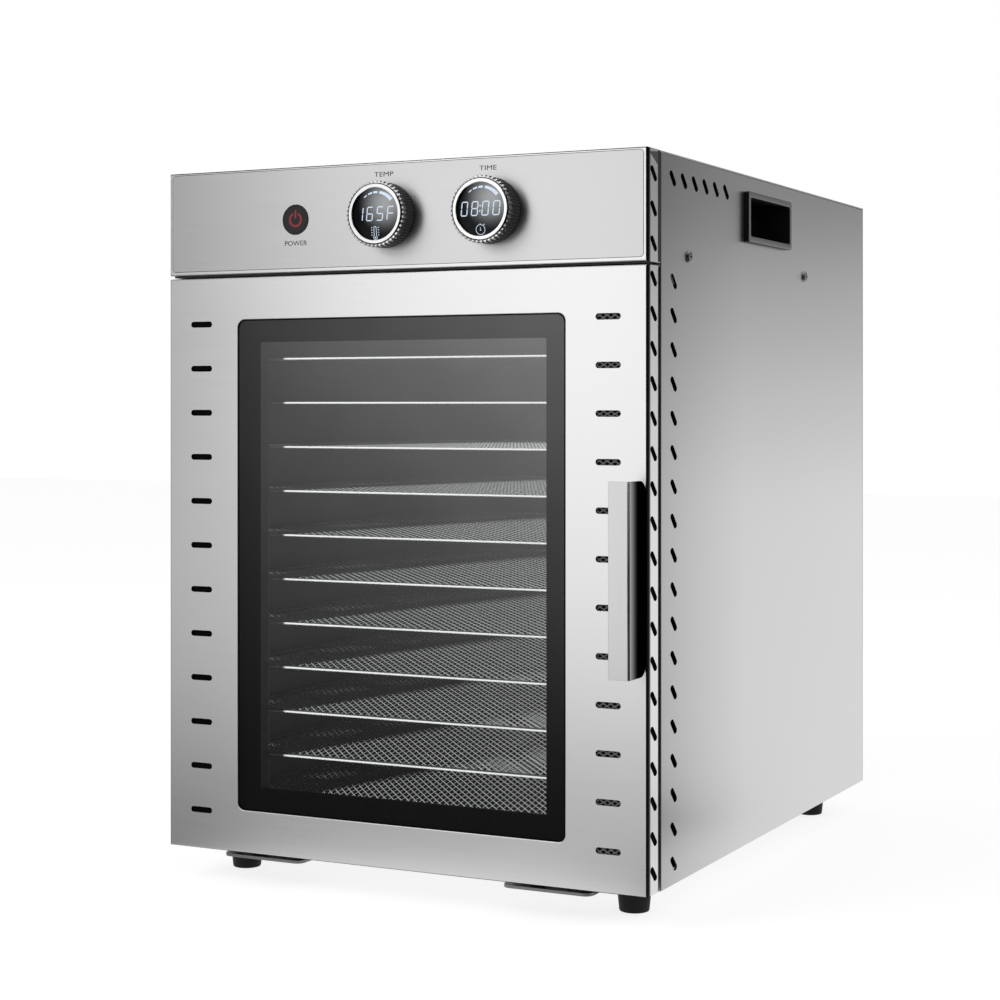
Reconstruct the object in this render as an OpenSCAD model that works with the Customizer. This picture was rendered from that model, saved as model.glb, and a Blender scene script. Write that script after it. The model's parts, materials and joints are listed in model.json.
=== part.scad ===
/* [Trays] */
// Number of trays
tray_count = 12; // [8:1:12]
// Height from one tray to the next
tray_pitch = 30; // [26:0.5:34]
// Width of a tray over the centres of its side rods
tray_w = 300; // [270:1:330]
// Depth of a tray over the centres of its end rods
tray_d = 334; // [290:1:370]
// Diameter of the rods that frame a tray
rod_d = 2.4; // [2:0.1:3]
// Bend radius of the rods at a tray's corners
rod_bend = 12; // [8:1:20]
// Thickness of the mesh welded to a tray's rods
mesh_t = 0.8; // [0.5:0.1:1]
// Width of the bars that stand for the mesh
mesh_bar = 3; // [2:0.5:5]
// Openings across a tray
mesh_columns = 9; // [6:1:10]
// Openings from the front of a tray to its back
mesh_rows = 10; // [6:1:11]

/* [Drying chamber] */
// Gap between a tray and the wall beside it
tray_side_gap = 1.8; // [1.5:0.1:4]
// Gap between the trays and the front frame
tray_front_gap = 2.3; // [1:0.1:5]
// Gap between the trays and the air guide behind them
tray_rear_gap = 9.8; // [6:0.1:15]
// Height of the lowest tray over the chamber's floor
space_below = 21.3; // [16:0.1:30]
// Height of the chamber's ceiling over the highest tray
space_above = 14.7; // [10:0.1:25]
// Height of the chamber's floor over the cabinet's underside
floor_h = 12; // [9:0.5:20]
// Width of the ledges that carry the trays
rail_w = 8; // [6:0.5:12]
// Thickness of the ledges that carry the trays
rail_t = 1.5; // [1:0.1:2]
// Gap that lets a tray slide over its ledge or a pan over the floor
seat_gap = 0.2; // [0.1:0.05:0.3]
// Width of the duct between the chamber's wall and the side panel
side_duct = 21.7; // [15:0.1:30]
// Height of the crumb tray's rim
crumb_rim = 5; // [3:0.5:8]

/* [Sheet metal] */
// Thickness of the outer panels
sheet = 1; // [0.8:0.05:1.2]
// Thickness of the chamber's walls
liner_t = 0.8; // [0.6:0.05:1]
// Height of the upturned edges of the base
base_flange = 10; // [6:1:20]
// Width of the edges that the back panel is screwed to
rear_flange = 12; // [10:1:16]
// Height of the edges that the side panels are screwed to
ceiling_flange = 28; // [24:1:34]

/* [Door] */
// Thickness of the door
door_t = 18.5; // [16:0.5:24]
// Gap between the closed door and the front frame
door_gap = 3; // [2.5:0.1:4]
// Height of the door's lower edge over the cabinet's underside
door_lift = 0.5; // [0.5:0.1:2]
// Height of the door over the chamber's ceiling
door_overlap = 10; // [9:0.5:16]
// Distance from the door's side edge to its window
window_side = 55.1; // [45:0.1:70]
// Distance from the door's lower or upper edge to its window
window_end = 28.65; // [24:0.05:45]
// Corner radius of the window
window_r = 5; // [3:0.5:12]
// Width of the printed border on the glass
glass_border = 15.2; // [12:0.1:20]
// Thickness of the glass
glass_t = 4; // [3:0.5:5]
// How far the glass reaches behind the door's sheet
glass_lap = 7; // [4:0.5:7]
// Thickness of the seal behind the glass
seal_t = 2.2; // [1.5:0.1:3]
// Width of the door's gasket
gasket_w = 5; // [4:0.5:6]
// Gap between the closed gasket and the front frame
gasket_gap = 0.3; // [0.3:0.05:0.5]
// Distance from the chamber's side wall to the gasket
gasket_side = 7; // [4:0.5:9]
// Distance from the chamber's floor or ceiling to the gasket
gasket_end = 2.5; // [1.5:0.1:3]

/* [Hinge] */
// Distance from the door's left edge to the hinge's axis
hinge_inset = 6; // [5.5:0.1:7]
// Distance from the back of the door to the hinge's axis
hinge_back = 8; // [7:0.1:9]
// Diameter of the hinge pins
hinge_pin_d = 5; // [4:0.1:6]
// Clearance on radius between a hinge pin and its bush
hinge_play = 0.05; // [0.03:0.01:0.08]
// Height of the bushes
bush_h = 10; // [6:0.5:16]
// Width of the lower hinge's tab
tab_w = 8; // [7.5:0.1:9]
// Thickness of the lower hinge's tab
tab_t = 2.5; // [2:0.1:4]
// Opening angle of the door
door_open = 110; // [90:1:110]

/* [Handle] */
// How far the handle stands out from the door
handle_reach = 26.2; // [22:0.1:40]
// Width of the handle
handle_w = 13.8; // [12:0.1:20]
// Length of the handle
handle_len = 119.6; // [90:0.1:180]
// Thickness of the handle's sheet
handle_t = 1.5; // [1:0.1:2.5]
// Corner radius of the handle's side next to the door
handle_r = 8; // [4:0.5:10]
// Distance from the door's right edge to the handle
handle_inset = 0.8; // [0.5:0.1:6]
// Diameter of the heads of the handle's screws
handle_head_d = 8; // [6:0.1:9]
// Height of the heads of the handle's screws
handle_head_h = 2.2; // [1.5:0.1:3]

/* [Air slots] */
// Length of a slot in the door's front
front_slot_len = 17; // [12:0.5:20]
// Width of a slot
slot_w = 4; // [3:0.1:5]
// Distance from the door's side edge to the middle of a front slot
front_slot_inset = 25.9; // [22:0.1:30]
// Depth of a front slot below its tray
front_slot_drop = 6.7; // [3:0.1:12]
// Length of a slanted side slot
side_slot_len = 11.5; // [8:0.1:12]
// Tilt of a side slot from the vertical
side_slot_tilt = 43; // [20:1:60]
// Height from one side slot to the next
side_slot_pitch = 21.57; // [16:0.01:30]
// Height of the lowest side slot
side_slot_first = 13.1; // [10:0.1:20]
// Distance from the door's front to its side slots
side_slot_y = 10.6; // [8:0.1:12]
// Distance from the side panel's front edge to its column of slots
panel_slot_y = 22.3; // [14:0.1:34]
// Number of slots in the side panel's upper row
upper_slots = 6; // [3:1:6]
// Distance from one slot of the upper row to the next
upper_slot_pitch = 19.18; // [14:0.01:21]

/* [Control panel] */
// Height of the control panel
fascia_h = 70; // [64:0.5:90]
// Gap between the door and the control panel
fascia_gap = 2; // [1.5:0.1:3]
// Height of the knobs over the control panel's lower edge
knob_z = 35; // [30:0.5:40]
// Distance from the middle of the panel to the temperature knob
temp_knob_x = -6.5; // [-20:0.5:0]
// Distance from the middle of the panel to the time knob
time_knob_x = 69.5; // [60:0.5:100]
// Distance from the middle of the panel to the power button
button_x = -75.5; // [-100:0.5:-60]
// Diameter of a knob's ring
knob_d = 41.5; // [40:0.1:46]
// Distance that a knob stands out from the panel
knob_reach = 14.3; // [10:0.1:20]
// Diameter of the fixed display inside a knob
display_d = 35.7; // [30:0.1:36]
// Clearance on radius between a knob and its display
knob_play = 0.08; // [0.04:0.01:0.1]
// Wall of a knob's hub
hub_wall = 1.1; // [0.8:0.1:1.5]
// Gap between a knob and the panel
knob_gap = 0.6; // [0.4:0.1:1]
// Diameter of the power button
button_d = 20; // [15:0.1:24]
// Travel of the power button
button_travel = 1.5; // [0.8:0.1:2]
// Clearance on radius around the power button
button_play = 0.15; // [0.1:0.01:0.25]
// Distance from the panel's front to the control board
board_y = 12; // [11:0.1:16]
// Thickness of a circuit board
board_t = 1.6; // [1.2:0.1:2]

/* [Fan and heater] */
// Depth of the fan's chamber
fan_room = 40; // [36:0.5:60]
// Depth of the motor's chamber
motor_room = 40; // [38:0.5:60]
// Diameter of the fan over its blades
fan_d = 176; // [140:1:180]
// Number of blades
blades = 6; // [4:1:8]
// Pitch angle of the blades
blade_pitch = 35; // [20:1:40]
// Chord of a blade
blade_chord = 24; // [16:0.5:28]
// Diameter of the motor's shaft
shaft_d = 6; // [5:0.1:8]
// Clearance on radius between the shaft and its bearing
shaft_play = 0.05; // [0.03:0.01:0.08]
// Diameter of the heater's loop
heater_d = 210; // [206:1:230]
// Diameter of the heater's tube
heater_tube_d = 6.5; // [5:0.1:8]

/* [Side cups, feet and fastenings] */
// Length of a side cup over its rim
cup_w = 91.2; // [70:0.1:110]
// Height of a side cup over its rim
cup_h = 34.7; // [28:0.1:40]
// Width of a side cup's rim
cup_rim_w = 4; // [3:0.1:6]
// Height that the rim stands over the side panel
cup_rim_h = 4; // [2:0.1:6]
// Depth of a side cup behind the side panel
cup_depth = 22; // [15:0.5:30]
// Distance from the side panel's front edge to the middle of the cup
cup_y = 196.7; // [190:0.1:230]
// Distance from the cabinet's top to the middle of the cup
cup_drop = 29; // [27:0.1:31]
// Height of a foot
foot_h = 21; // [12:0.5:35]
// Diameter of a foot where it meets the base
foot_top_d = 23.5; // [18:0.1:30]
// Diameter of a foot at the bottom
foot_bottom_d = 19.5; // [16:0.1:28]
// Distance from the side of the cabinet to the middle of a foot
foot_inset = 29.6; // [22:0.1:35]
// Distance from the side panel's front edge to the front feet
front_foot_y = 28.9; // [28:0.1:60]
// Distance from the back of the cabinet to the rear feet
rear_foot_y = 46.2; // [30:0.1:80]
// Diameter of the heads of the casing's screws
screw_head_d = 8; // [6:0.1:9]
// Height of the heads of the casing's screws
screw_head_h = 1.8; // [1:0.1:2.5]
// Diameter of the casing's screws
screw_d = 3.6; // [3:0.1:4]
// Length of the casing's screws
screw_len = 8; // [6:0.5:12]

/* [Hidden] */
$fn = 48;
fit_gap = 0.2;
small = 0.01;

// Heights over the cabinet's underside.
function tray_z(n) = floor_h + space_below + (n - 1) * tray_pitch;
ceiling_z = tray_z(tray_count) + space_above;
door_z0 = door_lift;
door_z1 = ceiling_z + door_overlap;
fascia_z0 = door_z1 + fascia_gap;
cabinet_h = fascia_z0 + fascia_h;
knob_h = fascia_z0 + knob_z;
fan_z = (floor_h + ceiling_z) / 2;

// Distances behind the front of the door.
frame_y = door_t + door_gap;
liner_y = frame_y + sheet;
tray_y0 = liner_y + tray_front_gap + rod_d / 2;
tray_mid_y = tray_y0 + tray_d / 2;
tray_end_y = tray_y0 + tray_d + rod_d / 2;
guide_y = tray_end_y + tray_rear_gap;
bulkhead_y = guide_y + sheet + fan_room;
back_y = bulkhead_y + sheet + motor_room;
cabinet_d = back_y + sheet;

// Distances from the middle plane.
chamber_x = tray_w / 2 + rod_d / 2 + tray_side_gap;
inner_x = chamber_x + liner_t + side_duct;
half_w = inner_x + sheet;

// The box that holds the whole machine is centred on the origin.
front_y = -(cabinet_d + screw_head_h - handle_reach) / 2;

// Ledges under the trays.
rail_front_gap = 2;
rail_past_tray = 4;

// Window and glass.
window_x = half_w - window_side;
window_z0 = door_z0 + window_end;
window_z1 = door_z1 - window_end;
clear_x = window_x - glass_border;
clear_z0 = window_z0 + glass_border;
clear_z1 = window_z1 - glass_border;
reveal_gap = 1.4;
reveal_set_back = 1;
seal_w = 5;
seal_inner_r = 3;
panel_notch_room = 2;
gasket_inner_r = 2;
glass_back_y = sheet + glass_t;

// Hinge.
hinge_x = -half_w + hinge_inset;
hinge_y = door_t - hinge_back;
tab_lift = 1.5;
tab_z = door_z0 + sheet + tab_lift;
bush_w = 2 * hinge_inset;
hinge_hole_d = hinge_pin_d + 2 * hinge_play;
pin_head_d = 9;
pin_head_h = 1.2;
upper_head_h = 3;
notch_front = 3;
notch_room = 0.8;
notch_low = 0.5;
notch_z0 = door_z0 + sheet + notch_low;
notch_z1 = tab_z + tab_t + notch_room;
bush_gap = 0.3;
pin_end_gap = 1;
skin_hole_room = 0.5;

// Slots.
slot_edge = 7;
function side_slots(low, high) = [
    for (z = side_slot_first; z < high - slot_edge; z = z + side_slot_pitch)
        if (z > low + slot_edge) z
];
door_slots = side_slots(0, door_z1);
fascia_slots = side_slots(fascia_z0, cabinet_h);
upper_slot_z = fascia_slots[len(fascia_slots) - 1];
upper_slot_shift = 1.5;

// Magnets at the free side of the door.
magnet_w = 7.5;
magnet_len = 30;
magnet_inset = 2;
magnet_end = 60;
magnet_face_gap = 0.5;
magnet_x1 = inner_x - magnet_inset;
magnet_x0 = magnet_x1 - magnet_w;
magnet_heights = [door_z0 + magnet_end, door_z1 - magnet_end];

// Handle.
handle_x1 = half_w - handle_inset;
handle_x0 = handle_x1 - handle_w;
handle_rise = 1.6;
handle_mid_z = (door_z0 + door_z1) / 2 + handle_rise;
handle_z0 = handle_mid_z - handle_len / 2;
handle_z1 = handle_mid_z + handle_len / 2;
handle_screw_d = 4;
handle_screw_end = 25;
handle_screw_play = 0.15;
handle_foot_end = 2;
handle_screws_z = [handle_z0 + handle_screw_end, handle_z1 - handle_screw_end];
handle_screw_x = (handle_x0 + handle_x1 - handle_t) / 2;

// Control panel.
display_base_y = board_y;
hub_d = display_d + 2 * (knob_play + hub_wall);
knob_bore_d = display_d + 2 * knob_play;
hub_end_y = 8;
encoder_d = 46;
board_past_button = 20;
board_past_knob = 28;
board_end_gap = 8;
board_x0 = button_x - board_past_button;
board_x1 = time_knob_x + board_past_knob;
board_z0 = fascia_z0 + board_end_gap;
board_z1 = cabinet_h - board_end_gap;
board_edge = 5;
standoff_d = 6;
button_front = -0.3;
button_cap_t = 4;
button_stem_len = 4;
button_stem_d = 6;
button_stem_gap = 0.3;
switch_w = 12;
switch_y = button_front + button_cap_t + button_stem_len;
display_recess = 0.3;
display_dome_h = 1.4;

// Inlet and its lead.
inlet_inset = 51.5;
inlet_x = half_w - inlet_inset;
inlet_z = 48;
inlet_w = 27;
inlet_h = 20;
inlet_depth = 22;
inlet_wall = 1.5;
inlet_floor = 3;
inlet_flange = 4;
inlet_flange_t = 2;
inlet_pin = [2, 12, 4];
inlet_pin_x = 7;
inlet_pin_z = 2;

// Main board, over the ceiling of the chamber, with its terminals above the inlet.
power_board_past_inlet = 25;
power_board_x1 = inlet_x + power_board_past_inlet;
power_board_w = 110;
power_board_d = 100;
power_board_x0 = power_board_x1 - power_board_w;
power_board_rear_gap = 14;
power_board_y1 = bulkhead_y - power_board_rear_gap;
power_board_y0 = power_board_y1 - power_board_d;
power_board_rise = 8;
power_board_z = ceiling_z + liner_t + power_board_rise;
transformer = [40, 40, 30];
transformer_at = [8, 10];
relay = [20, 28, 18];
relay_at = [60, 12];
terminals = [18, 8, 20];
lead_d = 6;
lead_bend = 8;
lead_run = 12;
lead_y = back_y - inlet_depth - lead_run;
lead_top_z = power_board_z + board_t + terminals[2] / 2;

// Heater, motor and fan.
fan_front_gap = 23;
fan_y = guide_y + sheet + fan_front_gap;
heater_r = heater_d / 2;
heater_pin_d = 5;
heater_pin_room = 1.5;
heater_pin_end = 8;
clip_w = 8;
clip_depth = 6;
heater_open = 20;
heater_pins = [-75, -105];
motor_d = 64;
motor_h = 26;
motor_plate_w = 90;
motor_plate_h = 24;
boss_d = 24;
boss_h = 5;
boss_front = 2;
boss_room = 1;
motor_plate_t = 2;
hub_len = 18;
fan_hub_d = 36;
blade_t = 1.5;
blade_root = 3;
shaft_reach = 21;
shaft_end_gap = 1;
shaft_end_y = bulkhead_y + sheet + shaft_reach;

// Side cups.
cup_mid_y = frame_y + cup_y;
cup_mid_z = cabinet_h - cup_drop;
cup_wall = 2;
cup_r = 6;
cup_inner_w = cup_w - 2 * cup_rim_w;
cup_inner_h = cup_h - 2 * cup_rim_w;

// Base, feet and rests.
flange_start = 6;
foot_x = half_w - foot_inset;
feet_y = [frame_y + front_foot_y, cabinet_d - rear_foot_y];
foot_bore_d = 9;
foot_seat_h = 6;
rest_inset = 40;
rest_w = 62;
rest_front_y = 4.5;
rest_len = 33;
rest_t = 2;
rest_drop = 2.2;
rest_r = 6;
rest_pad_inset = 15;
rest_pad_d = 10;
rest_pad_y = 12;
rest_pad_gap = 0.3;
rest_screw_rear = 8;

// Screws of the casing.
screw_hole_d = screw_d + 2 * fit_gap;
side_screw_rise = 18.8;
side_screw_z = ceiling_z + side_screw_rise;
side_screw_front = 48;
side_screw_rear = 108;
side_screws_y = [frame_y + side_screw_front, bulkhead_y - side_screw_rear];
back_screw_inset = 7;
back_screw_x = half_w - back_screw_inset;
back_screw_count = 4;
back_screw_end = 40;
function back_screw_z(n) =
    back_screw_end + n * (cabinet_h - 2 * back_screw_end) / (back_screw_count - 1);

function numbered(n) = str("tray_", n < 10 ? "0" : "", n);

// ---- Shapes that repeat ----

// Moves a piece from the cabinet's own corner to the part's frame.
module placed() {
    translate([0, front_y, foot_h]) children();
}

module block(from, to) {
    translate(from) cube(to - from);
}

// The children, an outline of X and Z, as a plate from y backwards.
module upright(y, t) {
    translate([0, y + t, 0]) rotate([90, 0, 0]) linear_extrude(t) children();
}

// The children, an outline of Y and Z, as a plate from x to the right.
module sideways(x, t) {
    translate([x, 0, 0]) rotate([90, 0, 90]) linear_extrude(t) children();
}

module rounded(w, h, r) {
    square([w - 2 * r, h], center = true);
    square([w, h - 2 * r], center = true);
    for (sx = [-1, 1], sy = [-1, 1])
        translate([sx * (w / 2 - r), sy * (h / 2 - r)]) circle(r);
}

// A rounded outline between two heights, centred across the cabinet.
module rounded_between(half_x, z0, z1, r) {
    translate([0, (z0 + z1) / 2]) rounded(2 * half_x, z1 - z0, r);
}

module outline_between(half_x, z0, z1) {
    translate([-half_x, z0]) square([2 * half_x, z1 - z0]);
}

module obround(len, w) {
    square([len - w, w], center = true);
    for (s = [-1, 1]) translate([s * (len - w) / 2, 0]) circle(w / 2);
}

// A slanted slot whose upper end lies nearer the front.
module slanted_slot() {
    rotate(90 + side_slot_tilt) obround(side_slot_len, slot_w);
}

module front_slots(y, t) {
    for (n = [1:tray_count], s = [-1, 1])
        translate([s * (half_w - front_slot_inset), 0, tray_z(n) - front_slot_drop])
            upright(y, t) obround(front_slot_len, slot_w);
}

// A rod along Y from y0 to y1.
module rod_y(x, z, y0, y1, d) {
    translate([x, y1, z]) rotate([90, 0, 0]) cylinder(h = y1 - y0, d = d);
}

// A quarter bend of rod in the X-Y plane, from angle a to a + 90.
module bend(r, d, a) {
    rotate(a) rotate_extrude(angle = 90) translate([r, 0]) circle(d = d);
}

// A closed loop of rod, w by d over its centre line.
module rod_loop(w, d, r, rod) {
    for (s = [-1, 1]) {
        rod_y(s * w / 2, 0, -d / 2 + r, d / 2 - r, rod);
        translate([-w / 2 + r, s * d / 2, 0]) rotate([0, 90, 0]) cylinder(h = w - 2 * r, d = rod);
    }
    translate([w / 2 - r, d / 2 - r, 0]) bend(r, rod, 0);
    translate([-w / 2 + r, d / 2 - r, 0]) bend(r, rod, 90);
    translate([-w / 2 + r, -d / 2 + r, 0]) bend(r, rod, 180);
    translate([w / 2 - r, -d / 2 + r, 0]) bend(r, rod, 270);
}

// ---- Casing ----

module base_pan() {
    color("silver") placed() difference() {
        union() {
            block([-inner_x, frame_y, 0], [inner_x, back_y, sheet]);
            for (s = [0, 1]) mirror([s, 0, 0])
                block([inner_x - sheet, liner_y + flange_start, 0], [inner_x, back_y - sheet, base_flange]);
            block([-inner_x + rear_flange, back_y - sheet, 0],
                [inner_x - rear_flange, back_y, base_flange]);
        }
        foot_places() translate([0, 0, -small]) cylinder(h = sheet + 2 * small, d = screw_hole_d);
        rest_screw_places() translate([0, 0, -small]) cylinder(h = sheet + 2 * small, d = screw_hole_d);
    }
}

module side_panel() {
    difference() {
        union() {
            block([inner_x, frame_y, 0], [half_w, back_y, cabinet_h - sheet]);
            block([inner_x - rear_flange, back_y - sheet, sheet],
                [inner_x, back_y, cabinet_h - sheet]);
        }
        sideways(inner_x - small, sheet + 2 * small) {
            for (z = door_slots) translate([frame_y + panel_slot_y, z]) slanted_slot();
            for (n = [0:upper_slots - 1])
                translate([frame_y + panel_slot_y - upper_slot_shift + n * upper_slot_pitch, upper_slot_z])
                    slanted_slot();
            translate([cup_mid_y, cup_mid_z])
                rounded(cup_inner_w + 2 * (cup_wall + fit_gap),
                    cup_inner_h + 2 * (cup_wall + fit_gap), cup_r);
            for (y = side_screws_y) translate([y, side_screw_z]) circle(d = screw_hole_d);
        }
        for (n = [0:back_screw_count - 1])
            translate([back_screw_x, 0, back_screw_z(n)])
                upright(back_y - sheet - small, sheet + 2 * small) circle(d = screw_hole_d);
    }
}

module side_panel_left() {
    color("gainsboro") placed() mirror([1, 0, 0]) side_panel();
}

module side_panel_right() {
    color("gainsboro") placed() side_panel();
}

module top_panel() {
    color("gainsboro") placed()
        block([-half_w, frame_y, cabinet_h - sheet], [half_w, back_y, cabinet_h]);
}

// The back has two stacks of air slots in front of the motor.
module back_panel() {
    grille_rows = 12;
    grille_pitch = 12;
    grille_slot = [62, 5];
    grille_x = 38;
    color("silver") placed() difference() {
        block([-half_w, back_y, 0], [half_w, back_y + sheet, cabinet_h]);
        for (r = [0:grille_rows - 1], s = [-1, 1])
            translate([s * grille_x, 0, fan_z + (r - (grille_rows - 1) / 2) * grille_pitch])
                upright(back_y - small, sheet + 2 * small) square(grille_slot, center = true);
        translate([inlet_x, 0, inlet_z]) upright(back_y - small, sheet + 2 * small)
            square([inlet_w + 2 * fit_gap, inlet_h + 2 * fit_gap], center = true);
        for (n = [0:back_screw_count - 1], s = [-1, 1])
            translate([s * back_screw_x, 0, back_screw_z(n)])
                upright(back_y - small, sheet + 2 * small) circle(d = screw_hole_d);
    }
}

// The front frame closes the ducts around the chamber's mouth.
module front_frame() {
    color("silver") placed() difference() {
        upright(frame_y, sheet) outline_between(inner_x, sheet, fascia_z0 + sheet);
        upright(frame_y - small, sheet + 2 * small) {
            outline_between(chamber_x, floor_h, ceiling_z);
            for (z = magnet_heights)
                translate([magnet_x0 - fit_gap, z - magnet_len / 2 - fit_gap])
                    square([magnet_w + 2 * fit_gap, magnet_len + 2 * fit_gap]);
            translate([hinge_x - tab_w / 2 - fit_gap, tab_z - fit_gap])
                square([tab_w + 2 * fit_gap, tab_t + 2 * fit_gap]);
        }
    }
}

// ---- Chamber ----

module liner_wall() {
    block([chamber_x, liner_y, floor_h - liner_t], [chamber_x + liner_t, bulkhead_y, ceiling_z]);
}

module liner_left() {
    color("darkgray") placed() mirror([1, 0, 0]) liner_wall();
}

module liner_right() {
    color("darkgray") placed() liner_wall();
}

module liner_floor() {
    color("darkgray") placed()
        block([-chamber_x, liner_y, floor_h - liner_t], [chamber_x, bulkhead_y, floor_h]);
}

// The ceiling also carries the main board and the side panels' screws.
module liner_ceiling() {
    color("darkgray") placed() difference() {
        union() {
            block([-inner_x, liner_y, ceiling_z], [inner_x, bulkhead_y + sheet, ceiling_z + liner_t]);
            for (s = [0, 1]) mirror([s, 0, 0])
                block([inner_x - sheet, liner_y, ceiling_z],
                    [inner_x, bulkhead_y + sheet, ceiling_z + ceiling_flange]);
        }
        for (s = [0, 1], y = side_screws_y) mirror([s, 0, 0])
            translate([inner_x - sheet - small, y, side_screw_z])
                rotate([0, 90, 0]) cylinder(h = sheet + 2 * small, d = screw_hole_d);
    }
}

module tray_rails() {
    color("silver") placed() for (n = [1:tray_count], s = [0, 1]) mirror([s, 0, 0]) {
        top = tray_z(n) - rod_d / 2 - seat_gap;
        block([chamber_x - rail_w, liner_y + rail_front_gap, top - rail_t],
            [chamber_x, tray_end_y + rail_past_tray, top]);
    }
}

// A perforated plate that spreads the air over all the trays.
module air_guide() {
    guide_columns = 9;
    guide_pitch = 30;
    guide_slot = [18, 5];
    color("darkgray") placed() difference() {
        upright(guide_y, sheet) outline_between(chamber_x, floor_h, ceiling_z);
        for (n = [1:tray_count], c = [0:guide_columns - 1])
            translate([(c - (guide_columns - 1) / 2) * guide_pitch, 0, tray_z(n) - tray_pitch / 3])
                upright(guide_y - small, sheet + 2 * small) square(guide_slot, center = true);
        sensor_place() rod_y(0, 0, -small, sheet + small, sensor_d + 2 * fit_gap);
    }
}

module crumb_tray() {
    crumb_x = chamber_x - rail_w / 2;
    bottom = floor_h + seat_gap;
    color("silver") placed() difference() {
        block([-crumb_x, tray_y0 - rod_d / 2, bottom], [crumb_x, tray_end_y, bottom + crumb_rim]);
        block([-crumb_x + sheet, tray_y0 - rod_d / 2 + sheet, bottom + sheet],
            [crumb_x - sheet, tray_end_y - sheet, bottom + crumb_rim + small]);
    }
}

// A wire-framed tray; the plate between its rods stands for the mesh.
module tray(n) {
    cell_w = (tray_w - mesh_bar) / mesh_columns;
    cell_d = (tray_d - mesh_bar) / mesh_rows;
    color("gainsboro") placed() translate([0, tray_mid_y, tray_z(n)]) {
        rod_loop(tray_w, tray_d, rod_bend, rod_d);
        translate([0, 0, rod_d / 2 - mesh_t - fit_gap]) linear_extrude(mesh_t) difference() {
            rounded(tray_w, tray_d, rod_bend);
            for (i = [0:mesh_columns - 1], j = [0:mesh_rows - 1])
                translate([(i + 0.5) * cell_w - (tray_w - mesh_bar) / 2,
                    (j + 0.5) * cell_d - (tray_d - mesh_bar) / 2])
                    square([cell_w - mesh_bar, cell_d - mesh_bar], center = true);
        }
    }
}

// ---- Air system ----

module around_fan() {
    translate([0, 0, fan_z]) children();
}

module rear_bulkhead() {
    intake_slots = 8;
    intake_r = 56;
    intake_slot = [10, 26];
    color("silver") placed() difference() {
        upright(bulkhead_y, sheet) outline_between(inner_x, sheet, ceiling_z);
        for (s = [-1, 1]) translate([s * inner_x, 0, sheet]) upright(bulkhead_y - small, sheet + 2 * small)
            square(2 * (base_flange + fit_gap), center = true);
        around_fan() upright(bulkhead_y - small, sheet + 2 * small) {
            circle(d = boss_d + 2 * boss_room);
            for (i = [0:intake_slots - 1]) rotate((i + 0.5) * 360 / intake_slots)
                translate([0, intake_r]) square(intake_slot, center = true);
            for (a = heater_pins) rotate(a) translate([heater_r, 0])
                circle(d = heater_pin_d + 2 * heater_pin_room);
        }
    }
}

module fan_motor() {
    plate_y = bulkhead_y + sheet;
    color("dimgray") placed() around_fan() difference() {
        union() {
            translate([0, plate_y + boss_h + motor_h, 0]) rotate([90, 0, 0])
                cylinder(h = motor_h, d = motor_d);
            rod_y(0, 0, plate_y - sheet - boss_front, plate_y + boss_h, boss_d);
            block([-motor_plate_w / 2, plate_y, -motor_plate_h / 2],
                [motor_plate_w / 2, plate_y + motor_plate_t, motor_plate_h / 2]);
        }
        rod_y(0, 0, plate_y - sheet - boss_front - small, shaft_end_y + shaft_end_gap,
            shaft_d + 2 * shaft_play);
    }
}

module fan_impeller() {
    blade_r = sqrt(pow(fan_d / 2, 2) - pow(blade_chord / 2, 2));
    color("lightgray") placed() around_fan() {
        rod_y(0, 0, fan_y - hub_len / 2, fan_y + hub_len / 2, fan_hub_d);
        rod_y(0, 0, fan_y, shaft_end_y, shaft_d);
        for (i = [0:blades - 1]) translate([0, fan_y, 0]) rotate([0, i * 360 / blades, 0])
            rotate([blade_pitch, 0, 0])
                block([fan_hub_d / 2 - blade_root, -blade_t / 2, -blade_chord / 2],
                    [blade_r, blade_t / 2, blade_chord / 2]);
    }
}

// The heater's loop in the fan's plane, open at the bottom between its pins.
module heater_loop(d) {
    translate([0, fan_y, 0]) rotate([90, 0, 0])
        rotate(-90 + heater_open / 2) rotate_extrude(angle = 360 - heater_open)
            translate([heater_r, 0]) circle(d = d);
}

module heater_ring() {
    color("dimgray") placed() around_fan() {
        heater_loop(heater_tube_d);
        for (a = heater_pins) rotate([0, -a, 0])
            rod_y(heater_r, 0, fan_y, bulkhead_y + heater_pin_end, heater_pin_d);
    }
}

module heater_clips() {
    color("silver") placed() around_fan() for (a = [30, 90, 150, 210, 330]) rotate([0, -a, 0])
        difference() {
            block([heater_r - clip_depth, fan_y - clip_depth, -clip_w / 2],
                [heater_r + clip_depth, bulkhead_y, clip_w / 2]);
            rotate([0, a, 0]) heater_loop(heater_tube_d + 2 * fit_gap);
        }
}

module thermal_cutout() {
    cutout_x = chamber_x - 30;
    cutout_z = 100;
    cutout_d = 16;
    cutout_h = 9;
    cutout_tab = [28, 1, 10];
    color("tan") placed() around_fan() {
        rod_y(cutout_x, cutout_z, bulkhead_y - cutout_h, bulkhead_y, cutout_d);
        translate([cutout_x, bulkhead_y - cutout_tab[1] / 2, cutout_z]) cube(cutout_tab, center = true);
    }
}

// The sensor's tip stands in the air between two trays.
sensor_d = 5;
sensor_inset = 33;
sensor_tray = 6;
sensor_front = 3;
sensor_rear = 12;
sensor_collar_d = 9;
sensor_collar_t = 3;
module sensor_place() {
    translate([chamber_x - sensor_inset, guide_y, tray_z(sensor_tray) + tray_pitch / 2]) children();
}

module temp_sensor() {
    color("silver") placed() sensor_place() {
        rod_y(0, 0, sensor_front - tray_rear_gap, sheet + sensor_rear, sensor_d);
        rod_y(0, 0, sheet, sheet + sensor_collar_t, sensor_collar_d);
    }
}

// ---- Control panel ----

module at_knobs() {
    for (x = [temp_knob_x, time_knob_x]) translate([x, 0, knob_h]) children();
}

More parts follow.
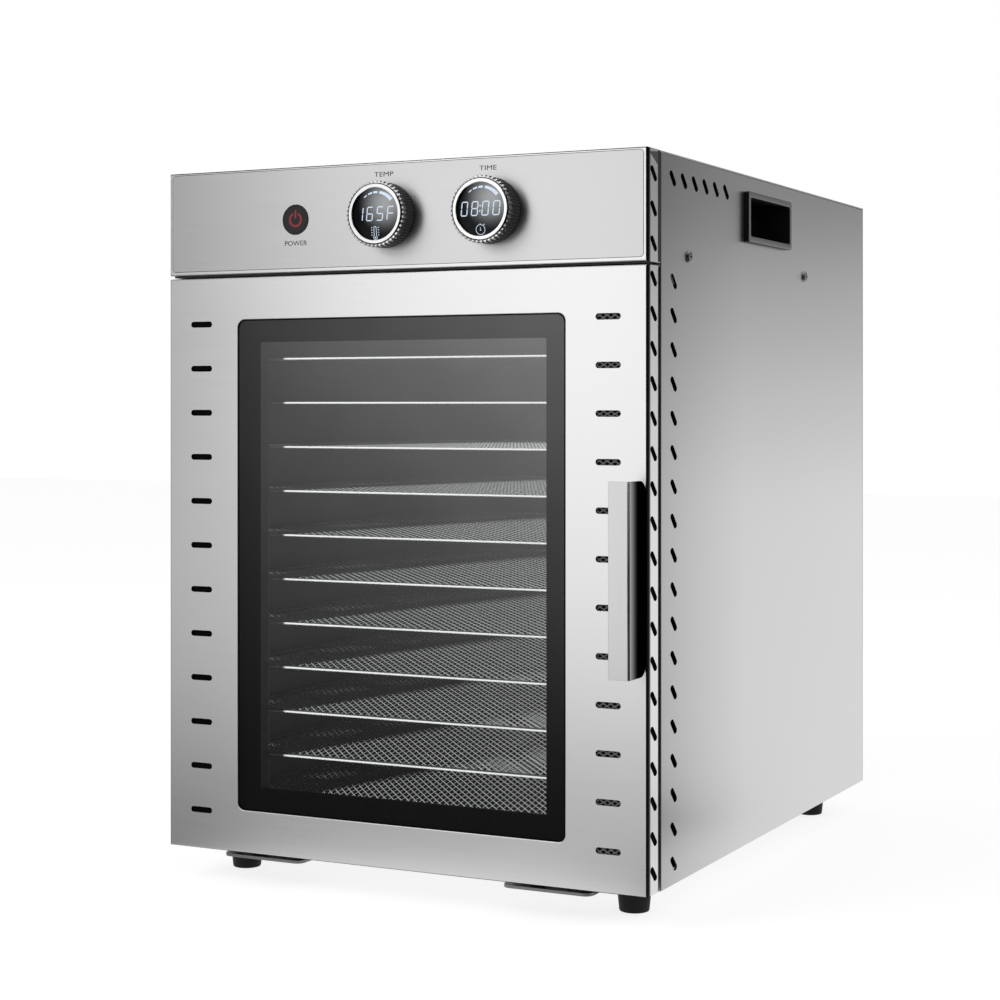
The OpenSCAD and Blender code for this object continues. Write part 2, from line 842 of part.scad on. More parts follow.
module fascia() {
    color("silver") placed() difference() {
        block([-half_w, 0, fascia_z0], [half_w, frame_y, cabinet_h]);
        block([-inner_x, sheet, fascia_z0 + sheet], [inner_x, frame_y + small, cabinet_h - sheet]);
        upright(-small, sheet + 2 * small) {
            for (x = [temp_knob_x, time_knob_x]) translate([x, knob_h]) circle(d = hub_d + 2 * fit_gap);
            translate([button_x, knob_h]) circle(d = button_d + 2 * button_play);
        }
        sideways(-half_w - small, 2 * half_w + 2 * small)
            for (z = fascia_slots) translate([side_slot_y, z]) slanted_slot();
        translate([hinge_x, hinge_y, fascia_z0 - small])
            cylinder(h = sheet + 2 * small, d = hinge_hole_d);
    }
}

// Each display is a fixed post with a slightly domed face, inside its knob.
module knob_displays() {
    dome_r = (pow(display_d / 2, 2) + pow(display_dome_h, 2)) / (2 * display_dome_h);
    front = -knob_reach + display_recess;
    color("black") placed() at_knobs() intersection() {
        rod_y(0, 0, front, display_base_y, display_d);
        translate([0, front + dome_r, 0]) sphere(dome_r, $fn = 96);
    }
}

module knob_ring() {
    difference() {
        union() {
            rod_y(0, 0, -knob_reach, -knob_gap, knob_d);
            rod_y(0, 0, -knob_gap, hub_end_y, hub_d);
        }
        rod_y(0, 0, -knob_reach - small, hub_end_y + small, knob_bore_d);
    }
}

module temp_knob() {
    color("dimgray") placed() translate([temp_knob_x, 0, knob_h]) knob_ring();
}

module time_knob() {
    color("dimgray") placed() translate([time_knob_x, 0, knob_h]) knob_ring();
}

module encoders() {
    color("darkgreen") placed() at_knobs() difference() {
        rod_y(0, 0, sheet, board_y, encoder_d);
        rod_y(0, 0, sheet - small, board_y + small, hub_d + 2 * knob_play);
    }
}

module power_button() {
    stem_y = switch_y - button_travel - button_stem_gap;
    color("black") placed() translate([button_x, 0, knob_h]) {
        rod_y(0, 0, button_front, button_front + button_cap_t, button_d);
        rod_y(0, 0, button_front, stem_y, button_stem_d);
    }
}

module button_switch() {
    color("dimgray") placed()
        block([button_x - switch_w / 2, switch_y, knob_h - switch_w / 2],
            [button_x + switch_w / 2, board_y, knob_h + switch_w / 2]);
}

module control_board() {
    color("darkgreen") placed()
        block([board_x0, board_y, board_z0], [board_x1, board_y + board_t, board_z1]);
}

// The main board with its transformer, relay and terminal block.
module power_board() {
    top = power_board_z + board_t;
    color("darkgreen") placed() {
        block([power_board_x0, power_board_y0, power_board_z], [power_board_x1, power_board_y1, top]);
        translate([power_board_x0 + transformer_at[0], power_board_y0 + transformer_at[1], top - small])
            cube(transformer + [0, 0, small]);
        translate([power_board_x0 + relay_at[0], power_board_y0 + relay_at[1], top - small])
            cube(relay + [0, 0, small]);
        translate([inlet_x - terminals[0] / 2, power_board_y1 - terminals[1], top - small])
            cube(terminals + [0, 0, small]);
    }
}

module board_standoffs() {
    color("gold") placed() {
        for (x = [board_x0 + board_edge, board_x1 - board_edge],
            z = [board_z0 + board_edge, board_z1 - board_edge])
            rod_y(x, z, sheet, board_y, standoff_d);
        for (x = [power_board_x0 + board_edge, power_board_x1 - board_edge],
            y = [power_board_y0 + board_edge, power_board_y1 - board_edge])
            translate([x, y, ceiling_z + liner_t]) cylinder(h = power_board_rise, d = standoff_d);
    }
}

// ---- Mains inlet ----

module power_inlet() {
    y0 = back_y + sheet - inlet_depth;
    color("black") placed() translate([inlet_x, 0, inlet_z]) {
        difference() {
            union() {
                block([-inlet_w / 2, y0, -inlet_h / 2], [inlet_w / 2, back_y + sheet, inlet_h / 2]);
                block([-inlet_w / 2 - inlet_flange, back_y - inlet_flange_t, -inlet_h / 2 - inlet_flange],
                    [inlet_w / 2 + inlet_flange, back_y, inlet_h / 2 + inlet_flange]);
            }
            block([-inlet_w / 2 + inlet_wall, y0 + inlet_floor, -inlet_h / 2 + inlet_wall],
                [inlet_w / 2 - inlet_wall, back_y + sheet + small, inlet_h / 2 - inlet_wall]);
        }
        for (x = [-1, 0, 1])
            translate([x * inlet_pin_x - inlet_pin[0] / 2, y0 + inlet_floor - small,
                (x == 0 ? inlet_pin_z : -inlet_pin_z) - inlet_pin[2] / 2])
                cube(inlet_pin);
    }
}

// The lead rises behind the bulkhead and turns forward to the main board.
module mains_lead() {
    inlet_end_y = back_y + sheet - inlet_depth;
    color("black") placed() translate([inlet_x, 0, 0]) {
        rod_y(0, inlet_z, lead_y + lead_bend, inlet_end_y, lead_d);
        translate([0, lead_y + lead_bend, inlet_z + lead_bend]) rotate([90, 0, 90])
            bend(lead_bend, lead_d, 180);
        translate([0, lead_y, inlet_z + lead_bend])
            cylinder(h = lead_top_z - inlet_z - 2 * lead_bend, d = lead_d);
        translate([0, lead_y - lead_bend, lead_top_z - lead_bend]) rotate([90, 0, 90])
            bend(lead_bend, lead_d, 0);
        rod_y(0, lead_top_z, power_board_y1, lead_y - lead_bend, lead_d);
    }
}

// ---- Hinge, catches and rests ----

module at_hinge() {
    translate([hinge_x, hinge_y, 0]) children();
}

module hinge_pins() {
    upper_end = door_z1 - sheet - bush_h + pin_end_gap;
    color("silver") placed() at_hinge() {
        translate([0, 0, upper_end]) cylinder(h = fascia_z0 + sheet - upper_end, d = hinge_pin_d);
        translate([0, 0, fascia_z0 + sheet]) cylinder(h = upper_head_h, d = pin_head_d);
        translate([0, 0, tab_z]) cylinder(h = tab_t + bush_h - pin_end_gap, d = hinge_pin_d);
        translate([0, 0, tab_z - pin_head_h]) cylinder(h = pin_head_h, d = pin_head_d);
    }
}

module lower_hinge_bracket() {
    leaf_w = 16;
    leaf_h = 22;
    leaf_t = 2;
    color("silver") placed() difference() {
        union() {
            block([hinge_x - tab_w / 2, hinge_y, tab_z],
                [hinge_x + tab_w / 2, liner_y + leaf_t, tab_z + tab_t]);
            at_hinge() translate([0, 0, tab_z]) cylinder(h = tab_t, d = tab_w);
            block([hinge_x - tab_w / 2, liner_y, tab_z],
                [hinge_x - tab_w / 2 + leaf_w, liner_y + leaf_t, tab_z + leaf_h]);
        }
        at_hinge() translate([0, 0, tab_z - small]) cylinder(h = tab_t + 2 * small, d = hinge_hole_d);
    }
}

module catch_magnets() {
    housing = 1.5;
    housing_t = 8;
    color("dimgray") placed() for (z = magnet_heights) {
        block([magnet_x0, frame_y, z - magnet_len / 2], [magnet_x1, liner_y, z + magnet_len / 2]);
        block([magnet_x0 - housing, liner_y, z - magnet_len / 2 - housing],
            [magnet_x1 + housing, liner_y + housing_t, z + magnet_len / 2 + housing]);
    }
}

module rest_screw_places() {
    for (s = [0, 1], x = [rest_pad_inset, rest_w - rest_pad_inset]) mirror([s, 0, 0])
        translate([half_w - rest_inset - x, rest_front_y + rest_len - rest_screw_rear, 0]) children();
}

// Two plates under the base that the closed door's lower edge rides on.
module door_rest_plates() {
    color("silver") placed() difference() {
        for (s = [0, 1]) mirror([s, 0, 0])
            translate([half_w - rest_inset - rest_w, rest_front_y, -rest_drop - rest_t]) {
                translate([rest_w / 2, rest_len / 2, 0]) linear_extrude(rest_t)
                    rounded(rest_w, rest_len, rest_r);
                for (x = [rest_pad_inset, rest_w - rest_pad_inset]) {
                    translate([x, rest_pad_y, rest_t - small])
                        cylinder(h = rest_drop + door_z0 - rest_pad_gap + small, d = rest_pad_d);
                    translate([x, rest_len - rest_screw_rear, rest_t - small])
                        cylinder(h = rest_drop + small, d = rest_pad_d);
                }
            }
        rest_screw_places() translate([0, 0, -rest_drop - rest_t - small])
            cylinder(h = rest_drop + rest_t + 2 * small, d = screw_hole_d);
    }
}

// ---- Side cups, feet and screws ----

module cup() {
    difference() {
        union() {
            sideways(half_w, cup_rim_h) rounded(cup_w, cup_h, cup_r + cup_rim_w - cup_wall);
            sideways(half_w - cup_depth, cup_depth)
                rounded(cup_inner_w + 2 * cup_wall, cup_inner_h + 2 * cup_wall, cup_r);
        }
        sideways(half_w - cup_depth + cup_wall, cup_depth + cup_rim_h)
            rounded(cup_inner_w, cup_inner_h, cup_r - cup_wall);
    }
}

module cup_handles() {
    color("dimgray") placed() for (s = [0, 1]) mirror([s, 0, 0])
        translate([0, cup_mid_y, cup_mid_z]) cup();
}

module foot_places() {
    for (s = [-1, 1], y = feet_y) translate([s * foot_x, y, 0]) children();
}

module feet() {
    color("black") placed() foot_places() difference() {
        translate([0, 0, -foot_h]) cylinder(h = foot_h, d1 = foot_bottom_d, d2 = foot_top_d);
        translate([0, 0, -foot_h - small]) cylinder(h = foot_h - foot_seat_h + small, d = foot_bore_d);
        translate([0, 0, -foot_seat_h - small]) cylinder(h = foot_seat_h + 2 * small, d = screw_hole_d);
    }
}

// A pan-head screw that points up from its head.
module screw() {
    translate([0, 0, -screw_head_h]) cylinder(h = screw_head_h, d = screw_head_d);
    cylinder(h = screw_len, d = screw_d);
}

module case_screws() {
    color("silver") placed() {
        for (s = [0, 1], y = side_screws_y) mirror([s, 0, 0])
            translate([half_w, y, side_screw_z]) rotate([0, -90, 0]) screw();
        for (n = [0:back_screw_count - 1], s = [-1, 1])
            translate([s * back_screw_x, back_y + sheet, back_screw_z(n)])
                rotate([90, 0, 0]) screw();
        foot_places() translate([0, 0, -foot_seat_h]) screw();
        rest_screw_places() translate([0, 0, -rest_drop - rest_t]) screw();
    }
}

// ---- Door ----

module door_skin() {
    color("lightgray") placed() difference() {
        block([-half_w, 0, door_z0], [half_w, door_t, door_z1]);
        block([-inner_x, sheet, door_z0 + sheet], [inner_x, door_t + small, door_z1 - sheet]);
        upright(-small, sheet + 2 * small) {
            rounded_between(window_x, window_z0, window_z1, window_r);
            for (z = handle_screws_z) translate([handle_screw_x, z])
                circle(d = handle_screw_d + 2 * handle_screw_play);
        }
        front_slots(-small, sheet + 2 * small);
        sideways(-half_w - small, 2 * half_w + 2 * small)
            for (z = door_slots) translate([side_slot_y, z]) slanted_slot();
        block([-half_w - small, notch_front, notch_z0], [-inner_x + small, door_t + small, notch_z1]);
        translate([hinge_x, hinge_y, door_z1 - sheet - small])
            cylinder(h = sheet + 2 * small, d = hinge_hole_d + 2 * skin_hole_room);
    }
}

module door_glass() {
    color("lightcyan", 0.35) placed() upright(sheet, glass_t)
        rounded_between(window_x + glass_lap, window_z0 - glass_lap, window_z1 + glass_lap, window_r);
}

module glass_seal() {
    color("black") placed() upright(glass_back_y, seal_t) difference() {
        rounded_between(clear_x + reveal_gap + seal_w, clear_z0 - reveal_gap - seal_w,
            clear_z1 + reveal_gap + seal_w, window_r);
        rounded_between(clear_x + reveal_gap, clear_z0 - reveal_gap, clear_z1 + reveal_gap, seal_inner_r);
    }
}

// The inner panel closes the door and presses the glass on its seal.
module door_inner_panel() {
    edge = sheet + fit_gap;
    reveal_x = clear_x + reveal_gap + reveal_set_back;
    reveal_z0 = clear_z0 - reveal_gap - reveal_set_back;
    reveal_z1 = clear_z1 + reveal_gap + reveal_set_back;
    reveal_y = glass_back_y + seal_t;
    color("silver") placed() difference() {
        union() {
            upright(door_t - sheet, sheet)
                outline_between(half_w - edge, door_z0 + edge, door_z1 - edge);
            upright(reveal_y, door_t - reveal_y)
                rounded_between(reveal_x + sheet, reveal_z0 - sheet, reveal_z1 + sheet, window_r);
        }
        upright(reveal_y - small, door_t - reveal_y + 2 * small)
            rounded_between(reveal_x, reveal_z0, reveal_z1, window_r - sheet);
        front_slots(door_t - sheet - small, sheet + 2 * small);
        block([-half_w, door_t - sheet - small, 0],
            [-inner_x + bush_w + panel_notch_room, door_t + small, notch_z1]);
    }
}

module door_gasket() {
    outer_x = chamber_x + gasket_side + gasket_w;
    low = floor_h - gasket_end;
    high = ceiling_z + gasket_end;
    color("dimgray") placed() upright(door_t, door_gap - gasket_gap) difference() {
        rounded_between(outer_x, low - gasket_w, high + gasket_w, gasket_inner_r + gasket_w);
        rounded_between(outer_x - gasket_w, low, high, gasket_inner_r);
    }
}

// A channel bent from sheet, open towards the middle of the door.
module door_handle() {
    round_y = -handle_r;
    color("gainsboro") placed() difference() {
        union() {
            sideways(handle_x1 - handle_t, handle_t) {
                translate([-handle_reach, handle_z0]) square([handle_reach - handle_r, handle_len]);
                translate([round_y - small, handle_z0 + handle_r])
                    square([handle_r + small, handle_len - 2 * handle_r]);
                for (z = [handle_z0 + handle_r, handle_z1 - handle_r])
                    translate([round_y, z]) circle(handle_r);
            }
            block([handle_x0, -handle_reach, handle_z0], [handle_x1, -handle_reach + handle_t, handle_z1]);
            block([handle_x0, -handle_t, handle_z0 + handle_r + handle_foot_end],
                [handle_x1, 0, handle_z1 - handle_r - handle_foot_end]);
        }
        upright(-handle_t - small, handle_t + 2 * small)
            for (z = handle_screws_z) translate([handle_screw_x, z])
                circle(d = handle_screw_d + 2 * handle_screw_play);
    }
}

module handle_screws() {
    nut_w = 7;
    nut_t = 3;
    past_nut = 1;
    color("silver") placed() for (z = handle_screws_z) translate([handle_screw_x, 0, z]) {
        rod_y(0, 0, -handle_t - handle_head_h, -handle_t, handle_head_d);
        rod_y(0, 0, -handle_t, sheet + nut_t + past_nut, handle_screw_d);
        block([-nut_w / 2, sheet, -nut_w / 2], [nut_w / 2, sheet + nut_t, nut_w / 2]);
    }
}

module strike_plates() {
    color("silver") placed() for (z = magnet_heights)
        block([magnet_x0, door_t, z - magnet_len / 2],
            [magnet_x1, frame_y - magnet_face_gap, z + magnet_len / 2]);
}

// Plastic corner blocks of the door, bored for the hinge pins.
module hinge_bushes() {
    low = tab_z + tab_t + bush_gap;
    high = door_z1 - sheet - bush_h;
    color("white") placed() difference() {
        for (z = [low, high])
            block([-inner_x, sheet, z], [-inner_x + bush_w, door_t - sheet, z + bush_h]);
        at_hinge() for (z = [low, high])
            translate([0, 0, z - small]) cylinder(h = bush_h + 2 * small, d = hinge_hole_d);
    }
}

// ---- The part ----

base_pan();
side_panel_left();
side_panel_right();
top_panel();
back_panel();
front_frame();
liner_left();
liner_right();
liner_ceiling();
liner_floor();
tray_rails();
air_guide();
rear_bulkhead();
fan_motor();
heater_ring();
heater_clips();
thermal_cutout();
temp_sensor();
fascia();
knob_displays();
encoders();
control_board();
power_board();
board_standoffs();
button_switch();
hinge_pins();
lower_hinge_bracket();
door_rest_plates();
catch_magnets();
cup_handles();
feet();
case_screws();
power_inlet();
mains_lead();
crumb_tray();
for (n = [1:tray_count]) tray(n);
door_skin();
door_glass();
glass_seal();
door_inner_panel();
door_gasket();
door_handle();
handle_screws();
strike_plates();
hinge_bushes();
temp_knob();
time_knob();
power_button();
fan_impeller();
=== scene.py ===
import json
from math import cos, hypot, pi, radians, sin, sqrt

import bmesh
import bpy
from mathutils import Matrix, Vector

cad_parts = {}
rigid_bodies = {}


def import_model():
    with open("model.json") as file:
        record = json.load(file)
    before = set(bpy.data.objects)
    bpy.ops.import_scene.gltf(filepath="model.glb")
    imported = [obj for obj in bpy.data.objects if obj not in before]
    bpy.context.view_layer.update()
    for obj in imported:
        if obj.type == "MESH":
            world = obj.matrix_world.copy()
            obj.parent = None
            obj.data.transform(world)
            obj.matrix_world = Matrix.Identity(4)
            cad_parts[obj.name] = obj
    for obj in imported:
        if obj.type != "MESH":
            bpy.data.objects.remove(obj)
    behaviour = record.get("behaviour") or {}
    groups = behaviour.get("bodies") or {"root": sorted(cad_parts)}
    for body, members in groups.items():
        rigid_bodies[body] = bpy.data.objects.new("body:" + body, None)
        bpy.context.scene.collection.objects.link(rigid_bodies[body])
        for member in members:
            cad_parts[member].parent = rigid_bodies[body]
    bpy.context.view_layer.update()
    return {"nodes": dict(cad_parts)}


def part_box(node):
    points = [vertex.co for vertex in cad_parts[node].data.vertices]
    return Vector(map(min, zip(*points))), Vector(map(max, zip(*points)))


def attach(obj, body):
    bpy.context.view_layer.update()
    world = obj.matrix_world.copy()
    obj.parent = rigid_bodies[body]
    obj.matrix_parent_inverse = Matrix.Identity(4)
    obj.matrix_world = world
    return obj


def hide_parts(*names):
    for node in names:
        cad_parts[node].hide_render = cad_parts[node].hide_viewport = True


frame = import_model()

# ---- Studio ----
# A pale floor with a white surround, two soft lamps, and two curved reflectors
# that only polished surfaces see. They grade the light that the steel sends back.

scene = bpy.context.scene
scene.view_settings.view_transform = "Standard"

camera_lens = bpy.data.cameras.new("camera")
camera_lens.lens = 75.61
camera_lens.sensor_width = 36
camera_lens.shift_y = -0.0947
camera = bpy.data.objects.new("camera", camera_lens)
camera_height = 0.3227
camera.location = (0.6674, -1.4041, camera_height)
camera.rotation_euler = (radians(90), 0, radians(26.435))
scene.collection.objects.link(camera)
scene.camera = camera


def feed(tree, node, sockets):
    """Sets a node's sockets, given by name or number, to plain values or to other nodes' outputs."""
    for socket, value in sockets.items():
        if isinstance(value, bpy.types.NodeSocket):
            tree.links.new(value, node.inputs[socket])
        else:
            node.inputs[socket].default_value = value


def add(tree, kind, sockets=None, **settings):
    """A new shader node, with its settings made and its sockets fed."""
    node = tree.nodes.new("ShaderNode" + kind)
    for setting, value in settings.items():
        setattr(node, setting, value)
    feed(tree, node, sockets or {})
    return node


def seen_directly(tree):
    """An output that is 1 for the rays that show the background: camera, mirror and see-through rays."""
    path = add(tree, "LightPath")
    total = path.outputs["Is Camera Ray"]
    for ray in ("Is Glossy Ray", "Is Transmission Ray"):
        total = add(tree, "Math", {0: total, 1: path.outputs[ray]}, use_clamp=True).outputs[0]
    return total


surround = bpy.data.worlds.new("surround")
scene.world = surround
surround.use_nodes = True
tree = surround.node_tree
tree.nodes.clear()
lit_level, shown_level = [add(tree, "Background", {"Color": (1, 1, 1, 1), "Strength": strength})
                          for strength in (0.62, 1)]
either = add(tree, "MixShader", {"Fac": seen_directly(tree), 1: lit_level.outputs[0],
                                 2: shown_level.outputs[0]})
add(tree, "OutputWorld", {"Surface": either.outputs[0]})


def placed(name, form, material):
    """An object in the scene with a finished form as its mesh; the form is used up."""
    mesh = bpy.data.meshes.new(name)
    form.to_mesh(mesh)
    form.free()
    mesh.materials.append(material)
    thing = bpy.data.objects.new(name, mesh)
    scene.collection.objects.link(thing)
    return thing


def new_material(name, bare=False):
    material = bpy.data.materials.new(name)
    material.use_nodes = True
    if bare:
        material.node_tree.nodes.clear()
    return material


white_share, floor_size, under_feet = 0.7, 6, 0.0003
floor_paint = new_material("floor_paint", True)
tree = floor_paint.node_tree
matt = add(tree, "BsdfDiffuse", {"Color": (0.9, 0.9, 0.9, 1)})
white = add(tree, "Emission", {"Strength": 1.15})
share = add(tree, "Math", {0: seen_directly(tree), 1: white_share}, operation="MULTIPLY")
mixed = add(tree, "MixShader", {"Fac": share.outputs[0], 1: matt.outputs[0], 2: white.outputs[0]})
add(tree, "OutputMaterial", {"Surface": mixed.outputs[0]})
floor_form = bmesh.new()
bmesh.ops.create_grid(floor_form, x_segments=1, y_segments=1, size=floor_size,
                      matrix=Matrix.Translation((0, 0, -under_feet)))
placed("floor", floor_form, floor_paint)

# The reflectors are parts of a ball round the machine; what dips under the floor lies just on it.
reflector_radius = 1.2
above_floor = 0.002


def reflector(name, turns, tilts, glow):
    """turns and tilts are the first and last degree; glow(turn, tilt) is how bright it is there."""
    form = bmesh.new()
    bmesh.ops.create_grid(form, x_segments=90, y_segments=60, size=1)
    light = form.verts.layers.float.new("glow")
    for v in form.verts:
        turn = turns[0] + (turns[1] - turns[0]) * (v.co.x + 1) / 2
        tilt = tilts[0] + (tilts[1] - tilts[0]) * (v.co.y + 1) / 2
        v[light] = glow(turn, tilt)
        flat = reflector_radius * cos(radians(tilt))
        v.co = (flat * sin(radians(turn)), -flat * cos(radians(turn)),
                max(above_floor, camera_height + reflector_radius * sin(radians(tilt))))
    paint = new_material(name, True)
    strength = add(paint.node_tree, "Attribute", attribute_name="glow").outputs["Fac"]
    shine = add(paint.node_tree, "Emission", {"Strength": strength})
    add(paint.node_tree, "OutputMaterial", {"Surface": shine.outputs[0]})
    paint.cycles.emission_sampling = "NONE"
    card = placed(name, form, paint)
    for ray in ("camera", "diffuse", "shadow", "transmission"):
        setattr(card, "visible_" + ray, False)


def ease(value, *points):
    """Reads a smooth curve through (place, height) points at value."""
    if value <= points[0][0]:
        return points[0][1]
    for (a, low), (b, high) in zip(points, points[1:]):
        if value <= b:
            t = (value - a) / (b - a)
            return low + (high - low) * t * t * (3 - 2 * t)
    return points[-1][1]


def front_glow(turn, tilt):
    """Bright to the left, where the front sheet looks, and dark past its edge, later so near the floor."""
    later = 28 * ease(tilt, (-55, 1), (-35, 0))
    across = ease(turn, (-85, 0.9), (-50, 0.42), (-36, 0.60), (-25, 1.03), (-16, 1.25), (-6 + later, 1.35),
                  (4 + later, 0.02), (112, 0.02))
    high = ease(tilt, (-75, 0.3), (-39, 0.5), (-24, 0.78), (-14, 0.93), (2, 1.0), (14, 0.88), (24, 0.4),
                (50, 0.3))
    corner = 0.84 * ease(turn, (-38, 1), (-29, 0)) * ease(tilt, (-8, 0), (9, 1))
    dip = 0.32 * ease(turn, (-24, 0), (-12, 1), (-7, 1), (2, 0)) * ease(tilt, (-60, 1), (-50, 0))
    return across * high * (1 - corner) * (1 - dip)


def side_glow(turn, tilt):
    """Even, but for a darker band high up at its rear edge."""
    high = ease(tilt, (-14, 1.0), (-6, 1.0), (0, 0.80), (5, 0.6), (13, 0.28), (30, 0.26), (50, 0.8))
    edge = ease(turn, (162, 1.0), (175, 0.0))
    return (1.0 + (high - 1.0) * edge) * ease(turn, (112, 0.02), (130, 1.0))


reflector("front_reflector", (-85, 112), (-75, 50), front_glow)
reflector("side_reflector", (112, 175), (-40, 50), side_glow)


def lamp(name, place, aim, size, watts):
    data = bpy.data.lights.new(name, "AREA")
    data.shape = "RECTANGLE"
    data.size, data.size_y = size
    data.energy = watts
    holder = bpy.data.objects.new(name, data)
    holder.location = place
    holder.rotation_euler = (Vector(aim) - Vector(place)).to_track_quat("-Z", "Y").to_euler()
    scene.collection.objects.link(holder)
    return holder


lamp("key_lamp", (-1.5, -2.2, 1.9), (0, 0, 0.25), (1.6, 1.6), 34)
lamp("fill_lamp", (2.4, -0.6, 1.5), (0, 0, 0.25), (1.6, 1.6), 16)
# A low lamp shines through the door's window on the trays alone; only the door's front shades it.
tray_lamp = lamp("tray_lamp", (-0.68, -2.25, 1.02), (-0.02, -0.1, 0.2), (0.25, 0.25), 620)
tray_lamp.visible_glossy = False
lit_by_tray_lamp = bpy.data.collections.new("lit_by_tray_lamp")
shading_tray_lamp = bpy.data.collections.new("shading_tray_lamp")
tray_lamp.light_linking.receiver_collection = lit_by_tray_lamp
tray_lamp.light_linking.blocker_collection = shading_tray_lamp

# ---- Outer casing ----
# Side panels, top and back: one-millimetre stainless sheet, cut and folded, then brushed.
# The sides are brushed upwards, the rest across; every cut edge is slightly broken.


def ramp(tree, source, start, end, first=0, last=1, **settings):
    """An output that runs from first to last as the source runs from start to end."""
    span = {"Value": source, "From Min": start, "From Max": end, "To Min": first, "To Max": last}
    return add(tree, "MapRange", span, **settings).outputs["Result"]


def surface(name, colour, rough, metal=0.0, grain=(1, 1, 1), size=0.5, shade=0.2, uneven=0.06,
            relief=0.1, cloud=14.0, spin=None, painted_shade_along=None, **sockets):
    """A material with a fine grain, size millimetres apart, and a broad cloud in tone, gloss and relief."""
    material = new_material(name)
    tree = material.node_tree
    shader = tree.nodes["Principled BSDF"]
    place = add(tree, "TexCoord").outputs["Object"]
    stretched = add(tree, "Mapping", {"Vector": place, "Scale": [1000 * g / size for g in grain]}).outputs[0]
    fine = add(tree, "TexNoise", {"Vector": stretched, "Scale": 1, "Detail": 4}).outputs["Fac"]
    broad = add(tree, "TexNoise", {"Vector": place, "Scale": cloud, "Detail": 2}).outputs["Fac"]
    both = add(tree, "Mix", {"Factor": 0.35, "A": fine, "B": broad}).outputs["Result"]
    spread = ramp(tree, both, 0.3, 0.7)
    darkest, lightest = [(*[min(1, c * (1 + by)) for c in colour], 1) for by in (-shade, shade)]
    tone = add(tree, "Mix", {"Factor": spread, "A": darkest, "B": lightest},
               data_type="RGBA").outputs["Result"]
    # painted_shade_along paints shade: the colour is darkened along one axis of the object.
    if painted_shade_along:  # darker along one axis: axis, dark end, light end, share left at the dark end, curve
        axis, dark, light, left, curve = painted_shade_along
        along = add(tree, "SeparateXYZ", {"Vector": place}).outputs[axis]
        bend = add(tree, "Math", {0: ramp(tree, along, dark, light), 1: curve}, operation="POWER").outputs[0]
        kept = ramp(tree, bend, 0, 1, left, 1)
        tone = add(tree, "VectorMath", {0: tone, "Scale": kept}, operation="SCALE").outputs[0]
    feed(tree, shader, {"Metallic": metal, "Base Color": tone,
                        "Roughness": ramp(tree, spread, 0, 1, max(0.02, rough - uneven), rough + uneven)})
    feed(tree, shader, {socket.replace("_", " "): value for socket, value in sockets.items()})
    if relief:
        bump = add(tree, "Bump", {"Strength": relief, "Distance": 0.0001, "Height": fine})
        feed(tree, shader, {"Normal": bump.outputs["Normal"]})
    if spin is not None:
        lay = add(tree, "Tangent", direction_type="RADIAL", axis="Z")
        feed(tree, shader, {"Tangent": lay.outputs["Tangent"], "Anisotropic": 0.5,
                            "Anisotropic Rotation": spin})
    return material


def finished(name, form, material, body, slot, *nodes):
    """Turns a finished form into one piece that rides on a body and stands for CAD nodes."""
    piece = placed(name, form, material)
    kept = piece.data.attributes
    if "custom_normal" in kept:
        kept.remove(kept["custom_normal"])
    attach(piece, body)
    if nodes:
        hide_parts(*nodes)
    return piece


def solids_of(node):
    """A CAD node's mesh with its doubles merged."""
    form = bmesh.new()
    form.from_mesh(frame["nodes"][node].data)
    bmesh.ops.remove_doubles(form, verts=form.verts, dist=0.00001)
    return form


def plates_of(node):
    """A CAD node's mesh with its flat triangles joined."""
    form = solids_of(node)
    bmesh.ops.dissolve_limit(form, angle_limit=radians(0.5), verts=form.verts, edges=form.edges)
    for face in form.faces:
        face.smooth = False
    return form


def sharp_edges(form, chosen=None):
    return [e for e in form.edges if len(e.link_faces) == 2 and e.calc_face_angle(0) > 0.7
            and (chosen is None or chosen(e))]


def soften(form, edges, width, steps, clamp=True):
    """Rounds the edges to width, in millimetres; only the new faces are shaded smooth."""
    made = bmesh.ops.bevel(form, geom=edges, offset=width / 1000, offset_type="OFFSET", segments=steps,
                           profile=0.5, affect="EDGES", material=-1, clamp_overlap=clamp)
    for face in made["faces"]:
        face.smooth = True


def near(value, target):
    return abs(value - target) < 0.00005


def lies_on(edge, axis, value):
    """Whether an edge lies in the plane at this value of the axis."""
    return all(near(v.co[axis], value) for v in edge.verts)


def within_side(point, low, high):
    """Whether a point is well inside a folded sheet's side face, where the slots are."""
    return low.y + 0.003 < point.y < high.y - 0.0012 and low.z + 0.003 < point.z < high.z - 0.003


def slot_rims(form, low, high):
    """The outer rim edges of the slots in a sheet's side faces."""
    return sharp_edges(form, lambda e: all(
        (near(v.co.x, low.x) or near(v.co.x, high.x)) and within_side(v.co, low, high) for v in e.verts))


def groups_of(edges):
    """The points of each set of edges that hang together."""
    left, groups = set(edges), []
    for first in edges:
        if first not in left:
            continue
        left.remove(first)
        points, spread = set(), [first]
        while spread:
            ends = spread.pop().verts
            points.update(ends)
            touching = {e for v in ends for e in v.link_edges} & left
            left -= touching
            spread += touching
        groups.append(points)
    return groups


def punch_slots(form, low, high, by=0.9, rim=0.35):
    """Draws the slots' outer rims apart along Y, by millimetres a side, and rounds them, as a punch does."""
    for points in groups_of(slot_rims(form, low, high)):
        heights = [v.co.z for v in points]
        if 0.007 < max(heights) - min(heights) < 0.02:
            for v in points:
                walls = sum((f.normal for f in v.link_faces if abs(f.normal.x) < 0.3), Vector())
                v.co.y -= walls.normalized().y * by / 1000
    soften(form, slot_rims(form, low, high), rim, 1)


def paint_cut_shade(form, axis, wanted):
    """Gives the cut walls and rims of openings the second material, black as painted shade; axis is the
    sheet's thickness.
    """
    for face in form.faces:
        if abs(face.normal[axis]) < 0.8 and wanted(face.calc_center_median()):
            face.material_index = 1


